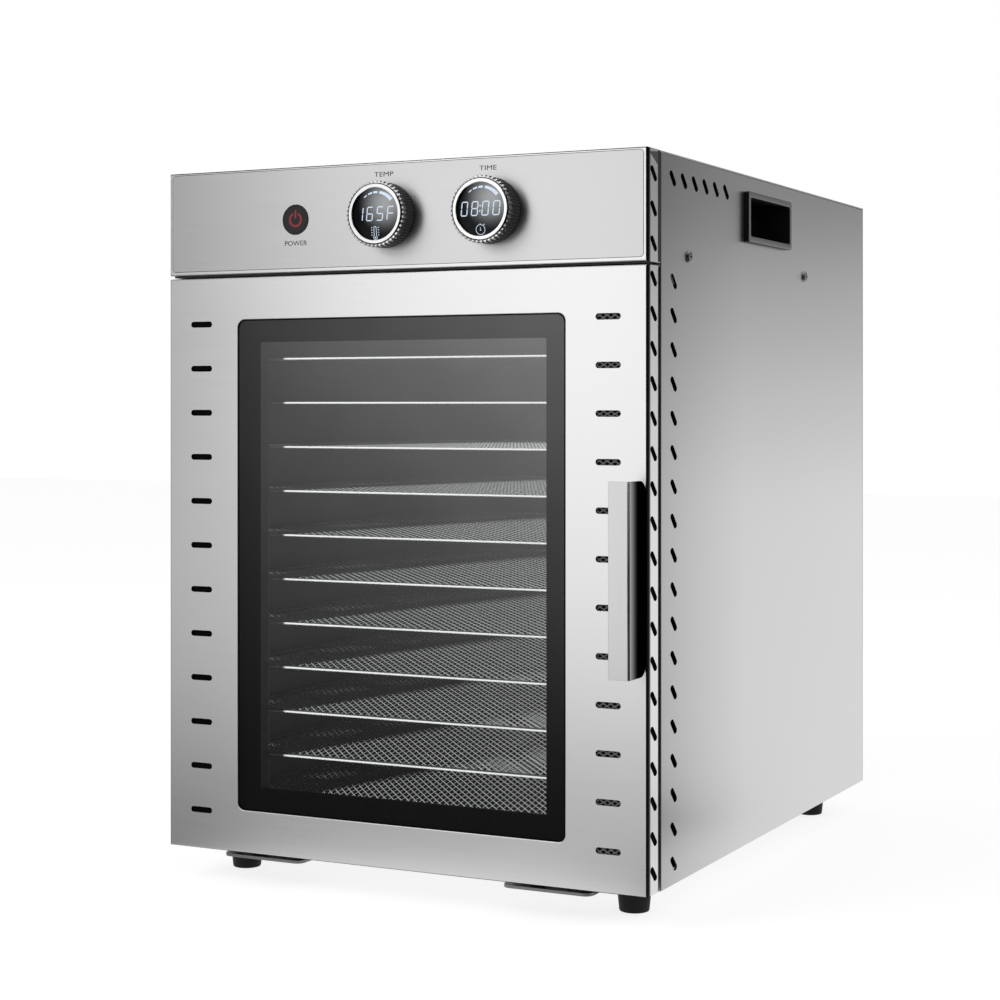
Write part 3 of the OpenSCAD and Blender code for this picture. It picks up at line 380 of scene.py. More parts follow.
steel_colour = (0.70, 0.70, 0.705)
brushing = {"metal": 1.0, "grain": (0.012, 1, 1), "size": 0.7, "shade": 0.015, "uneven": 0.02, "relief": 0.04,
            "cloud": 9, "spin": 0.25}
brushed_across = surface("steel_brushed_across", steel_colour, 0.29, **brushing)
plain_steel = surface("steel_plain", steel_colour, 0.33, 1.0, grain=(0.03, 1, 1), size=0.9,
                      shade=0.05, uneven=0.05, relief=0.08, cloud=9)
# The side sheets' steel is painted darker towards their front edge: painted shade.
brushed_up = surface("steel_brushed_up", steel_colour, 0.31, 1.0, grain=(1, 1, 0.03), size=0.7,
                     shade=0.02, uneven=0.02, relief=0.05, cloud=9, spin=0.0,
                     painted_shade_along=("Y", -0.2, -0.04, 0.64, 0.6))
# Black for the glass's seal bead and the knob grooves; elsewhere painted shade: slot walls, the side sheets'
# top edges, the overlay's edge and the sheets behind the door's slots.
black_and_painted_shade = surface("black_and_painted_shade", (0.002, 0.002, 0.002), 0.7, relief=0.2, Specular_IOR_Level=0.03)


def dress(material, *nodes):
    """Gives CAD parts that stay as they are their finish."""
    for node in nodes:
        kept = frame["nodes"][node]
        if not kept.material_slots:
            kept.data.materials.append(material)
        for holder in kept.material_slots:
            holder.material = material


def casing_sheet(node, panel, material):
    piece = finished(node + "_sheet", panel, material, "cabinet", "outer_steel", node)
    piece.data.materials.append(black_and_painted_shade)
    shading_tray_lamp.objects.link(piece)


for node in ("side_panel_left", "side_panel_right"):
    low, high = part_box(node)
    panel = plates_of(node)
    outer = low.x if node.endswith("left") else high.x
    rear_top = sharp_edges(panel, lambda e: lies_on(e, 0, outer) and (
        lies_on(e, 1, high.y) or lies_on(e, 2, high.z)))
    soften(panel, rear_top, 0.6, 3, False)
    punch_slots(panel, low, high)
    soften(panel, sharp_edges(panel), 0.12, 2)
    paint_cut_shade(panel, 0, lambda c: abs(c.x) > 0.1754 and low.y + 0.002 < c.y < high.y - 0.002 and
                low.z + 0.002 < c.z < high.z - 0.002)
    # The side sheets' top-edge faces are painted black: a painted dark reflection along the top edge.
    for face in panel.faces:
        if face.normal.z > 0.3 and abs(face.calc_center_median().x) > abs(outer) - 0.00061:
            face.material_index = 1
    casing_sheet(node, panel, brushed_up)
for node in ("top_panel", "back_panel"):
    panel = plates_of(node)
    soften(panel, sharp_edges(panel), 0.12, 2)
    casing_sheet(node, panel, plain_steel)
dress(plain_steel, "base_pan", "front_frame")

# ---- Control fascia ----
# A stainless cover folded from sheet, brushed across, with the lettering printed in dark grey.
# It clips to the front frame; black strips beside it, down the side panels' front edges and under it paint
# the shade in the gaps.

low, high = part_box("fascia")
# The sides and bends get a lighter copy of the brushed steel, painted near black at the front bend and just
# behind it: painted shade.
fold_shaded_steel = surface("steel_with_painted_fold_shade", (0.94, 0.94, 0.945), 0.29, **brushing,
                       painted_shade_along=("Y", low.y + 0.0036, low.y + 0.0062, 0.01, 1.2),
                       Specular_Tint=(0.5, 0.5, 0.5, 1))


def folded_front(node, low, high):
    """A front sheet with its bends rounded and its slots punched."""
    form = plates_of(node)
    bends = sharp_edges(form, lambda e: lies_on(e, 1, low.y) and any(
        lies_on(e, axis, corner[axis]) for axis in (0, 2) for corner in (low, high)))
    soften(form, bends, 0.8, 4, False)
    punch_slots(form, low, high)
    return form


def shade_folds(form, low, high, edge_z):
    """The sides, their bends and the bend at edge_z get the steel with painted fold shade, the slots' cut
    walls the black of painted shade.
    """
    for face in form.faces:
        middle = face.calc_center_median()
        at_side = abs(face.normal.x) > 0.2 and abs(middle.x) > high.x - 0.00081
        at_edge = abs(face.normal.z) > 0.3 and abs(middle.z - edge_z) < 0.00085 and middle.y < low.y + 0.00081
        if at_side or at_edge:
            face.material_index = 2
    paint_cut_shade(form, 0, lambda c: abs(c.x) > high.x - 0.0011 and within_side(c, low, high))


def front_sheet(name, form, body, node):
    """Finishes a front sheet: brushed, with cuts painted black as shade and the folds' steel with painted
    shade, and shading the tray lamp.
    """
    piece = finished(name, form, brushed_across, body, "outer_steel", node)
    piece.data.materials.append(black_and_painted_shade)
    piece.data.materials.append(fold_shaded_steel)
    shading_tray_lamp.objects.link(piece)


cover = folded_front("fascia", low, high)
soften(cover, sharp_edges(cover), 0.15, 2)
shade_folds(cover, low, high, high.z)
front_sheet("fascia_cover", cover, "cabinet", "fascia")

overlay_steel = surface("overlay_steel", (0.54, 0.54, 0.543), 0.3, **brushing)


def flat_form(name, curve):
    """A curve's or a text's flat face as a form; the curve is used up."""
    holder = bpy.data.objects.new(name, curve)
    flat = bpy.data.meshes.new_from_object(holder)
    form = bmesh.new()
    form.from_mesh(flat)
    for spare, store in ((holder, bpy.data.objects), (curve, bpy.data.curves), (flat, bpy.data.meshes)):
        store.remove(spare)
    return form


def moved(form, matrix):
    bmesh.ops.transform(form, verts=form.verts, matrix=matrix)
    return form


to_front = Matrix.Rotation(radians(90), 4, "X")


def flat_sheet(name, outlines, thick, y):
    """A thin upright sheet from closed (x, z) outlines in millimetres; inner outlines are its holes."""
    curve = bpy.data.curves.new(name, "CURVE")
    curve.dimensions = "2D"
    curve.fill_mode = "BOTH"
    curve.extrude = thick / 2000
    for outline in outlines:
        spline = curve.splines.new("POLY")
        spline.points.add(len(outline) - 1)
        spline.use_cyclic_u = True
        for point, (x, z) in zip(spline.points, outline):
            point.co = (x / 1000, z / 1000, 0, 1)
    form = flat_form(name, curve)
    bmesh.ops.remove_doubles(form, verts=form.verts, dist=0.000001)
    moved(form, Matrix.Translation((0, y, 0)) @ to_front)
    bmesh.ops.recalc_face_normals(form, faces=form.faces)
    return form


def rounded_outline(x0, x1, z0, z1, r, steps=6):
    """The points of a rounded rectangle, anticlockwise from its lower left corner."""
    points = []
    centres = ((x0 + r, z0 + r), (x1 - r, z0 + r), (x1 - r, z1 - r), (x0 + r, z1 - r))
    for (cx, cz), start in zip(centres, (180, 270, 0, 90)):
        for n in range(steps + 1):
            angle = radians(start + 90 * n / steps)
            points.append((cx + r * cos(angle), cz + r * sin(angle)))
    return points


def circle_outline(x, z, r, steps=72):
    angles = [2 * pi * n / steps for n in range(steps)]
    return [(x + r * cos(angle), z + r * sin(angle)) for angle in angles]


temp_x, time_x, button_x = [(start.x + end.x) / 2 for start, end in map(
    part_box, ("temp_knob", "time_knob", "power_button"))]
temp_low, temp_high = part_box("temp_knob")
knob_height = (temp_low.z + temp_high.z) / 2
side_margin, foot_margin, head_margin, corner_r = 2.4, 2.8, 1.6, 2.5
knob_hole, button_hole = 19.25, 10.2
cover_y = low.y


def overlay_outline(grow):
    """The overlay's outline on the cover, grown outwards by some millimetres."""
    return rounded_outline(low.x * 1000 + side_margin - grow, high.x * 1000 - side_margin + grow,
                           low.z * 1000 + foot_margin - grow, high.z * 1000 - head_margin + grow,
                           corner_r + grow)


plate = flat_sheet("overlay", [overlay_outline(0)] + [
    circle_outline(x * 1000, knob_height * 1000, r)
    for x, r in ((temp_x, knob_hole), (time_x, knob_hole), (button_x, button_hole))], 0.12, cover_y - 0.00005)
finished("fascia_overlay", plate, overlay_steel, "cabinet", "outer_steel")
# A thin black line round the overlay's edge: a painted shadow.
edge_shadow = flat_sheet("overlay_edge_shadow", [overlay_outline(grow) for grow in (0.32, 0.02)], 0.04,
                       cover_y - 0.00001)
finished("fascia_overlay_edge_shadow", edge_shadow, black_and_painted_shade, "cabinet", "black_plastic")
printed_y = cover_y - 0.00011

# A dark triangle on each side at the top front of the cover: painted shade of the folded corner.
corner_fold_shade = surface("corner_fold_shade", (0.06, 0.06, 0.06), 0.45, 0.3, size=0.7, shade=0.1)
corner = bmesh.new()
for side in (low.x, high.x):
    flap = [corner.verts.new((side * grow, low.y + y, high.z + z)) for grow in (0.9995, 1.0005)
            for y, z in ((0.0036, -0.0025), (0.0208, -0.0009), (0.0196, -0.0105))]
    bmesh.ops.convex_hull(corner, input=flap)
finished("fascia_corner_fold_shade", corner, corner_fold_shade, "cabinet", "outer_steel")

# Black for the gaps round the cover and the door: painted shade.
gap_shade_black = surface("gap_shade_black", (0.012, 0.012, 0.013), 0.6, relief=0.3)


def block(form, centre, size):
    """Adds a block to a form."""
    return bmesh.ops.create_cube(form, size=1, matrix=Matrix.LocRotScale(Vector(centre), None, Vector(size)))


strip = bmesh.new()
strip_t, seam_middle, seam_length = 0.0003, 0.2505, 0.458
for side in (low.x, high.x):
    block(strip, (side, high.y - 0.0019, (low.z + high.z) / 2), (strip_t, 0.0036, high.z - low.z - 0.001))
    block(strip, (side, high.y + 0.0006, seam_middle), (strip_t, 0.0014, seam_length))
block(strip, (0, low.y + 0.009, low.z - 0.0006), (high.x - low.x - 0.005, 0.014, 0.0012))
soften(strip, strip.edges[:], 0.05, 2)
finished("fascia_gap_shade_strip", strip, gap_shade_black, "cabinet", "black_plastic")


def raised(form, thick):
    """Gives flat patches lying in the XZ plane a thickness, in millimetres, towards the front."""
    bmesh.ops.remove_doubles(form, verts=form.verts, dist=0.000001)
    made = bmesh.ops.extrude_face_region(form, geom=form.faces[:])
    for part in made["geom"]:
        if isinstance(part, bmesh.types.BMVert):
            part.co.y -= thick / 1000
    bmesh.ops.recalc_face_normals(form, faces=form.faces)


ink_grey = surface("ink_grey", (0.012, 0.012, 0.013), 0.6, size=0.3, Specular_IOR_Level=0.1)


def lettering(text, x, z, width, height):
    """A printed word about a middle in metres, so many millimetres wide and high."""
    curve = bpy.data.curves.new(text, "FONT")
    curve.body = text
    form = flat_form(text, curve)
    left, right = [pick(v.co.x for v in form.verts) for pick in (min, max)]
    foot, head = [pick(v.co.y for v in form.verts) for pick in (min, max)]
    for v in form.verts:
        v.co = (x + ((v.co.x - left) / (right - left) - 0.5) * width / 1000, printed_y + 0.00002,
                z + ((v.co.y - foot) / (head - foot) - 0.5) * height / 1000)
    raised(form, 0.05)
    finished("lettering_" + text.lower(), form, ink_grey, "cabinet", "black_plastic")


lettering("TEMP", temp_x - 0.0017, knob_height + 0.027, 14.2, 3.0)
lettering("TIME", time_x - 0.0018, knob_height + 0.0274, 12.2, 3.0)
lettering("POWER", button_x + 0.0003, knob_height - 0.0156, 17.3, 3.2)

# ---- Knobs ----
# Two turned knobs: a charcoal knurled body, a bright coin-edged ring and a polished face ring.
# They turn round the fixed displays.


def shade_smooth(form, sharp=0.6):
    """Smooth shading that breaks at real corners."""
    for face in form.faces:
        face.smooth = True
    for edge in form.edges:
        edge.smooth = edge.calc_face_angle(3) < sharp


def turned(profile, closed=False, steps=96):
    """Spins (radius, height) points, in millimetres, round Z."""
    form = bmesh.new()
    line = [form.verts.new((r / 1000, 0, h / 1000)) for r, h in profile]
    for a, b in zip(line, line[1:] + line[:1] if closed else line[1:]):
        form.edges.new((a, b))
    bmesh.ops.spin(form, geom=form.verts[:] + form.edges[:], axis=(0, 0, 1), cent=(0, 0, 0),
                   angle=2 * pi, steps=steps, use_merge=True)
    bmesh.ops.remove_doubles(form, verts=form.verts, dist=0.000001)
    bmesh.ops.recalc_face_normals(form, faces=form.faces)
    shade_smooth(form)
    return form


def loft(rings, closed=False):
    """Skins a row of rings of points, in millimetres; closed joins the last ring to the first."""
    form = bmesh.new()
    rows = [[form.verts.new([c / 1000 for c in point]) for point in ring] for ring in rings]
    for a, b in zip(rows, rows[1:] + rows[:1] if closed else rows[1:]):
        for n in range(len(a)):
            form.faces.new((a[n - 1], a[n], b[n], b[n - 1]))
    if not closed:
        form.faces.new(rows[0])
        form.faces.new(rows[-1])
    bmesh.ops.recalc_face_normals(form, faces=form.faces)
    shade_smooth(form)
    return form


def toothed(teeth, radius, depth, height):
    """One ring of a knurled edge, with teeth so deep: four points to a tooth."""
    points = []
    for n in range(teeth * 4):
        angle = 2 * pi * (n + (0.25 if n % 2 else -0.25) * (1 if n % 4 < 2 else -1)) / (teeth * 4)
        r = radius if n % 4 < 2 else radius - depth
        points.append((r * cos(angle), r * sin(angle), height))
    return points


def facing_front(form, x):
    """Turns a form made round Z to face the front, at the knobs' height on the cover."""
    return moved(form, Matrix.Translation((x, cover_y, knob_height)) @ to_front)


bore = 17.93
charcoal = surface("knob_charcoal", (0.085, 0.085, 0.088), 0.42, 0.6, size=0.4, shade=0.25, relief=0.25)
coin_steel = surface("knob_coin_edge", (0.85, 0.85, 0.86), 0.22, 1.0, size=0.4, shade=0.1)
face_steel = surface("knob_face_ring", (0.93, 0.93, 0.94), 0.2, 1.0, shade=0.04, relief=0.05)
for knob, centre_x in (("temp_knob", temp_x), ("time_knob", time_x)):
    body = loft([toothed(64, *ring) for ring in (
        (bore, 0, 11.1), (bore, 0, -8), (19.03, 0, -8), (19.03, 0, 0.6), (20.9, 0, 0.6), (21.2, 0.7, 1.0),
        (21.2, 0.7, 10.6), (20.6, 0, 11.0), (19.2, 0, 11.2))], True)
    coin = loft([toothed(44, *ring) for ring in (
        (bore, 0, 11.3), (20.4, 0, 11.3), (21.5, 0.95, 11.6), (21.5, 0.95, 13.5), (20.9, 0.8, 14.5),
        (19.9, 0, 14.7), (19.8, 0, 13.8), (bore, 0, 13.8))], True)
    groove = turned([(18.5, 13.7), (18.5, 14.2), (19.9, 14.2), (19.9, 13.7)], True, 96)
    face = turned([(bore, 14.1), (bore, 14.4), (16.9, 14.45), (16.9, 15.1), (17.2, 15.5), (19.0, 15.5),
                   (19.3, 15.2), (19.3, 14.1)], True, 128)
    for part, form, material in (("body", body, charcoal), ("coin_edge", coin, coin_steel),
                                 ("groove", groove, black_and_painted_shade), ("face_ring", face, face_steel)):
        finished(f"{knob}_{part}", facing_front(form, centre_x), material, knob, "knob_metal", knob)

# ---- Displays ----
# Black domed lenses over fixed posts; the figures shine through them in white-blue.
# The figures, level arc and signs are thin lit patches that follow the dome.

lens_radius, lens_front, lens_dome = 17.85, 14.9, 1.4
dome_radius = (lens_radius ** 2 + lens_dome ** 2) / (2 * lens_dome)
lens_black = surface("lens_black", (0.004, 0.004, 0.005), 0.12, size=3, uneven=0.03, relief=0.0,
                     Specular_IOR_Level=0.12)


def lens_with_painted_highlight(name, centre_x):
    """The lens with a painted highlight: a soft grey glow up and to the right of the middle, standing in for
    a reflection.
    """
    material = lens_black.copy()
    material.name = name
    tree = material.node_tree
    highlight_at = (centre_x + 0.0075, cover_y - 0.0144, knob_height + 0.007)
    place = add(tree, "TexCoord").outputs["Object"]
    away = add(tree, "VectorMath", {0: place, 1: highlight_at}, operation="DISTANCE").outputs["Value"]
    feed(tree, tree.nodes["Principled BSDF"], {
        "Emission Strength": ramp(tree, away, 0.021, 0, 0, 0.36, interpolation_type="SMOOTHSTEP"),
        "Emission Color": (0.95, 0.98, 1.0, 1)})
    return material


glow_white = surface("figures_white", (0.22, 0.25, 0.3), 0.4, shade=0.04, relief=0.0,
                     Emission_Color=(0.70, 0.82, 1.0, 1), Emission_Strength=0.62)


def dome_drop(r):
    """How far the dome lies behind its middle at a radius."""
    return dome_radius - sqrt(dome_radius ** 2 - r * r)


for name, centre_x in (("temp", temp_x), ("time", time_x)):
    rim = [(r, lens_front - dome_drop(r)) for r in (0, 3, 6, 9, 12, 14.5, 16.5, 17.6)]
    post = turned(rim + [(lens_radius, lens_front - lens_dome - 0.15), (lens_radius, -12), (0, -12)])
    finished(name + "_display_lens", facing_front(post, centre_x), lens_with_painted_highlight(name + "_lens", centre_x),
             "cabinet", "display_lens", "knob_displays")


def bar(x0, z0, x1, z1, width, point=0.0):
    """A straight stroke as one patch; point gives it pointed ends."""
    long = hypot(x1 - x0, z1 - z0)
    dx, dz = (x1 - x0) / long, (z1 - z0) / long
    px, pz = -dz * width / 2, dx * width / 2
    first, last = (x0 + dx * point, z0 + dz * point), (x1 - dx * point, z1 - dz * point)
    ends = ((first, 1), (first, -1), (last, -1), (last, 1))
    sides = [(x + px * side, z + pz * side) for (x, z), side in ends]
    return [sides[0], (x0, z0), sides[1], sides[2], (x1, z1), sides[3]] if point else sides


def arc(x, z, inner, outer, start, end, steps):
    """A curved stroke as a row of patches; outer may be a list of two radii it runs between."""
    first, last = outer if isinstance(outer, tuple) else (outer, outer)
    patches = []
    for n in range(steps):
        corners = []
        for m, r in ((n, 0), (n + 1, 0), (n + 1, 1), (n, 1)):
            angle = radians(start + (end - start) * m / steps)
            reach = (first + (last - first) * m / steps) if r else inner
            corners.append((x + reach * cos(angle), z + reach * sin(angle)))
        patches.append(corners)
    return patches


def dot(x, z, r):
    return circle_outline(x, z, r, 12)


segment_places = {"A": (-1, 1, 1, 1), "B": (1, 1, 1, 0), "C": (1, 0, 1, -1), "D": (-1, -1, 1, -1),
                  "E": (-1, 0, -1, -1), "F": (-1, 1, -1, 0), "G": (-1, 0, 1, 0)}
segment_gap, stroke_w, figure_lean, figure_pitch = 0.12, 0.72, 0.1, 7.5
digit_segments = {"0": "ABCDEF", "1": "BC", "5": "AFGCD", "6": "AFEDCG", "8": "ABCDEFG", "F": "AFEG"}


def figure(letter, x, z):
    """One seven-segment figure about a middle."""
    patches = []
    for segment in digit_segments[letter]:
        x0, z0, x1, z1 = [side * reach for side, reach in zip(segment_places[segment], (2.1, 4.3) * 2)]
        long = hypot(x1 - x0, z1 - z0)
        gap_x, gap_z = segment_gap * (x1 - x0) / long, segment_gap * (z1 - z0) / long
        stroke = bar(x0 + gap_x, z0 + gap_z, x1 - gap_x, z1 - gap_z, stroke_w, stroke_w / 2)
        patches.append([(x + px + figure_lean * pz, z + pz) for px, pz in stroke])
    return patches


def lit(name, patches, centre_x):
    """Lays flat patches on a dome as one thin lit piece."""
    form = bmesh.new()
    for patch in patches:
        form.faces.new([form.verts.new((x / 1000, 0, z / 1000)) for x, z in patch])
    raised(form, 0.05)
    for v in form.verts:
        drop = dome_drop(1000 * hypot(v.co.x, v.co.z))
        v.co += Vector((centre_x, cover_y - (lens_front - drop) / 1000, knob_height))
    finished(name, form, glow_white, "cabinet", "display_lens")


# The four strokes of the level widen as they run down.
level_arc = []
for start, end in ((128, 118), (113, 100), (96.5, 84), (78, 37)):
    outer = [13.9 + 1.8 * (128 - angle) / 93 for angle in (start, end)]
    level_arc += arc(0, 0, 13.3, tuple(outer), start, end, max(2, int((start - end) / 3)))

temp_patches = level_arc[:]
for n, letter in enumerate("165F"):
    temp_patches += figure(letter, figure_pitch * (n - 1.5), 0)
stem, sign_z = 0.85, -12.2
temp_patches += [bar(side * stem, sign_z - 1.9, side * stem, sign_z + 3.2, 0.42) for side in (-1, 1)]
temp_patches.append(dot(0, sign_z - 3.0, 0.55))
temp_patches += arc(0, sign_z + 3.2, stem - 0.21, stem + 0.21, 0, 180, 6)
temp_patches += arc(0, sign_z - 3.0, 1.15, 1.55, 125, 415, 12)
for n in range(4):
    for side in (-1, 1):
        level = sign_z + 3.4 - 1.6 * n
        temp_patches.append(bar(side * 2.1, level, side * 2.8, level, 0.6))
lit("temp_figures", temp_patches, temp_x)

time_patches = level_arc[:]
for n, letter in enumerate("0800"):
    time_patches += figure(letter, figure_pitch * (n - 1.5), 0.3)
time_patches += [dot(0.15, 2.0, 0.55), dot(-0.15, -1.4, 0.55)]
time_patches += arc(0, -13, 2.95, 3.3, 0, 360, 24)
time_patches += [bar(0, -13.6, 0, -11.4, 0.3), dot(0, -13.3, 0.42), bar(2.35, -10.25, 2.9, -9.6, 0.6),
                 bar(-0.45, -9.45, 0.45, -9.45, 0.3)]
lit("time_figures", time_patches, time_x)

# ---- Power button ----
# A dark satin cap with a fine turned line, on a short stem; its sign is printed in dull red.

button_dark = surface("button_dark", (0.016, 0.016, 0.017), 0.4, size=0.6, shade=0.15, relief=0.15,
                      Specular_IOR_Level=0.2)
sign_red = surface("sign_red", (0.23, 0.03, 0.036), 0.5, size=0.4, shade=0.06, relief=0.0,
                   Specular_IOR_Level=0.2)
cap = turned([(0, 0.3), (8.55, 0.3), (8.65, 0.18), (8.85, 0.18), (8.95, 0.3), (9.75, 0.3), (10, 0.1),
              (10, -3.7), (3, -3.7), (3, -5.9), (0, -5.9)])
finished("power_button_cap", facing_front(cap, button_x), button_dark, "power_button", "black_plastic",
         "power_button")
cap_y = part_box("power_button")[0].y + 0.00001
sign = bmesh.new()
for patch in arc(0, 0, 3.55, 5.0, 117, 423, 30) + [bar(0, 0.8, 0, 6.2, 1.35)]:
    sign.faces.new([sign.verts.new((button_x + x / 1000, cap_y, knob_height + z / 1000)) for x, z in patch])
raised(sign, 0.04)
finished("power_button_sign", sign, sign_red, "power_button", "black_plastic")

# ---- Door ----
# A shallow stainless tray, brushed across, with a toughened pane set in its window.
# The pane's edge is printed black on the inside; an inner panel, seal and gasket close it.

low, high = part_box("door_skin")
skin = folded_front("door_skin", low, high)
window_rim = sharp_edges(skin, lambda e: all(near(v.co.y, low.y) and abs(v.co.x) < 0.1225 and
                                             low.z + 0.01 < v.co.z < high.z - 0.005 for v in e.verts))
soften(skin, window_rim, 0.5, 3)
soften(skin, sharp_edges(skin), 0.15, 2)
shade_folds(skin, low, high, low.z)
paint_cut_shade(skin, 1, lambda c: 0.135 < abs(c.x) < 0.165 and c.y < low.y + 0.0011 and
            low.z + 0.004 < c.z < high.z - 0.004)
front_sheet("door_skin_tray", skin, "door", "door_skin")
# The inner panel's steel is painted near black on the window reveal's walls, in front of its back face:
# painted shade.
inner_steel = surface("inner_panel_steel", steel_colour, 0.35, 1.0, grain=(0.03, 1, 1), size=0.9, shade=0.05,
                      relief=0.08, painted_shade_along=("Y", low.y + 0.01842, low.y + 0.01848, 0.008, 1))
dress(inner_steel, "door_inner_panel")

vent_mesh = black_and_painted_shade.copy()
vent_mesh.name = "vent_mesh"
tree = vent_mesh.node_tree
place = add(tree, "TexCoord").outputs["Object"]
wires = []
for lean in (-32, 32):
    leaning = add(tree, "Mapping", {"Vector": place, "Rotation": (0, radians(lean), 0),
                                    "Scale": (115, 115, 115)}).outputs[0]
    wires.append(add(tree, "TexWave", {"Vector": leaning, "Scale": 1, "Distortion": 1.2, "Detail Scale": 0.6},
                     bands_direction="Z").outputs["Fac"])
weave = add(tree, "Math", dict(enumerate(wires)), operation="MAXIMUM").outputs[0]
feed(tree, tree.nodes["Principled BSDF"], {"Base Color": ramp(tree, weave, 0.7, 1, 0.003, 0.16)})

# Sheets behind the front slots: at the right the woven vent mesh, at the left plain black, painted shade in
# place of the mesh.
slots_x, end_gap = 0.1506, 0.012
middle_z, length = (low.z + high.z) / 2, high.z - low.z
for name, side, material in (("left", -1, black_and_painted_shade), ("right", 1, vent_mesh)):
    front = bmesh.new()
    block(front, (side * slots_x, low.y + 0.0014, middle_z), (0.02, 0.0004, length - end_gap))
    soften(front, front.edges[:], 0.1, 2)
    finished(f"door_vent_backing_{name}", front, material, "door", "black_plastic")
# Black sheets behind the door's side slots and along its rear edges: painted shade.
for name, x, y, thick, deep, short, edge, material in (
        ("door_side_slot_shade", high.x - 0.0013, low.y + 0.0095, 0.0004, 0.012, end_gap, 0.1, black_and_painted_shade),
        ("door_edge_gap_shade", high.x, high.y - 0.0003, 0.0003, 0.0006, 0.001, 0.05, gap_shade_black)):
    pair = bmesh.new()
    for side in (-1, 1):
        block(pair, (side * x, y, middle_z), (thick, deep, length - short))
    soften(pair, pair.edges[:], edge, 2)
    finished(name, pair, material, "door", "black_plastic")

# The pane: see-through with a grey tint, mixed with a white glowing layer that grows upwards and to the
# right, a painted reflection of the studio; a noise varies its gloss and that glow.
pane = new_material("pane")
tree = pane.node_tree
place = add(tree, "TexCoord").outputs["Object"]
smudge_and_glare_noise = add(tree, "TexNoise", {"Vector": place, "Scale": 18, "Detail": 3}).outputs["Fac"]
parts = add(tree, "SeparateXYZ", {"Vector": place}).outputs
painted_glare = tree.nodes["Principled BSDF"]
feed(tree, painted_glare, {"Base Color": (0.01, 0.01, 0.01, 1), "Specular IOR Level": 0,
                  "Emission Color": (1, 1, 1, 1), "Roughness": ramp(tree, smudge_and_glare_noise, 0.3, 0.7, 0.16, 0.24),
                  "Emission Strength": ramp(tree, smudge_and_glare_noise, 0.3, 0.7, 0.94, 1.06)})
tint = add(tree, "BsdfTransparent", {"Color": (0.90, 0.91, 0.91, 1)})
upwards = add(tree, "Math", {0: ramp(tree, parts["Z"], 0.06, 0.38), 1: 1.6}, operation="POWER").outputs[0]
across = ramp(tree, parts["X"], -0.115, 0.115, 0.033, 0.105)
glare_share = add(tree, "Math", {0: upwards, 1: across, 2: 0.0055}, operation="MULTIPLY_ADD").outputs[0]
pane_with_glare = add(tree, "MixShader", {"Fac": glare_share, 1: tint.outputs[0], 2: painted_glare.outputs[0]})
feed(tree, tree.nodes["Material Output"], {"Surface": pane_with_glare.outputs[0]})
dress(pane, "door_glass")

print_black = surface("print_black", (0.002, 0.002, 0.002), 0.8, size=2, uneven=0.02, relief=0.0,
                      Specular_IOR_Level=0.02)
glass_low, glass_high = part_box("door_glass")
window_lap, border_w = 7.0, 15.2
opening, rear = glass_high.x * 1000 - window_lap, glass_high.y * 1000
foot, head = glass_low.z * 1000 + window_lap, glass_high.z * 1000 - window_lap


def window_ring(y, inset, corner):
    """A ring round the window, drawn in from its opening."""
    return [(x, y, z) for x, z in rounded_outline(
        inset - opening, opening - inset, foot + inset, head - inset, corner)]


skin_y = low.y * 1000
bead = loft([window_ring(skin_y + y, inset, 6 - inset)
             for inset, y in ((0, 0.9), (0, 0.35), (0.8, 0.35), (0.8, 0.9))], True)
finished("glass_bead", bead, black_and_painted_shade, "door", "black_plastic")
border = loft([window_ring(rear - y, inset, corner) for inset, corner, y in (
    (-3, 6, 0.10), (-3, 6, 0.02), (border_w, 1.5, 0.02), (border_w, 1.5, 0.10))], True)
border = finished("glass_printed_border", border, print_black, "door", "glass")
shading_tray_lamp.objects.link(border)

seal_black = surface("seal_black", (0.02, 0.02, 0.021), 0.6, size=0.6, relief=0.3)
silicone_grey = surface("silicone_grey", (0.03, 0.03, 0.031), 0.55, size=0.6, shade=0.15, relief=0.3)
dress(seal_black, "glass_seal")
dress(silicone_grey, "door_gasket")

low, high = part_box("door_handle")
handle = plates_of("door_handle")
front_bend = sharp_edges(handle, lambda e: lies_on(e, 1, low.y) and lies_on(e, 0, high.x))
soften(handle, front_bend, 1.4, 5, False)
soften(handle, sharp_edges(handle), 0.2, 2)
# The handle's steel is painted darker towards the door across its web: painted shade.
handle_steel = surface("handle_steel", steel_colour, 0.3, 1.0, grain=(1, 1, 0.012), size=0.7, shade=0.02,
                       uneven=0.02, relief=0.05, spin=0.0, Specular_Tint=(0.1, 0.1, 0.1, 1),
                       painted_shade_along=("Y", low.y + 0.0155, low.y + 0.0008, 0.03, 2.0))
finished("door_handle_channel", handle, handle_steel, "door", "handle_steel", "door_handle")

# ---- Side hand cups ----
# Black moulded cups pressed into the side panels, with a raised rim.

cup_black = surface("cup_black", (0.004, 0.004, 0.0042), 0.5, relief=0.3, Specular_IOR_Level=0.15)
cup_rim = surface("cup_rim", (0.16, 0.16, 0.163), 0.34, 0.6, shade=0.12, relief=0.2)
low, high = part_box("cup_handles")
rim_w, wall, cup_depth = 4.0, 2.0, 26
reach = high.x * 1000
hollow = reach - cup_depth


def cup_ring(side, out, x, corner):
    """A ring of the cup; out is how far it stands out from the rim's inner edge."""
    return [(side * x, y, z) for y, z in rounded_outline(
        low.y * 1000 + rim_w - out, high.y * 1000 - rim_w + out, low.z * 1000 + rim_w - out,
        high.z * 1000 - rim_w + out, corner)]


def join_to(whole, part):
    """Moves one form into another."""
    carried = bpy.data.meshes.new("carried")
    part.to_mesh(carried)
    part.free()
    whole.from_mesh(carried)
    bpy.data.meshes.remove(carried)


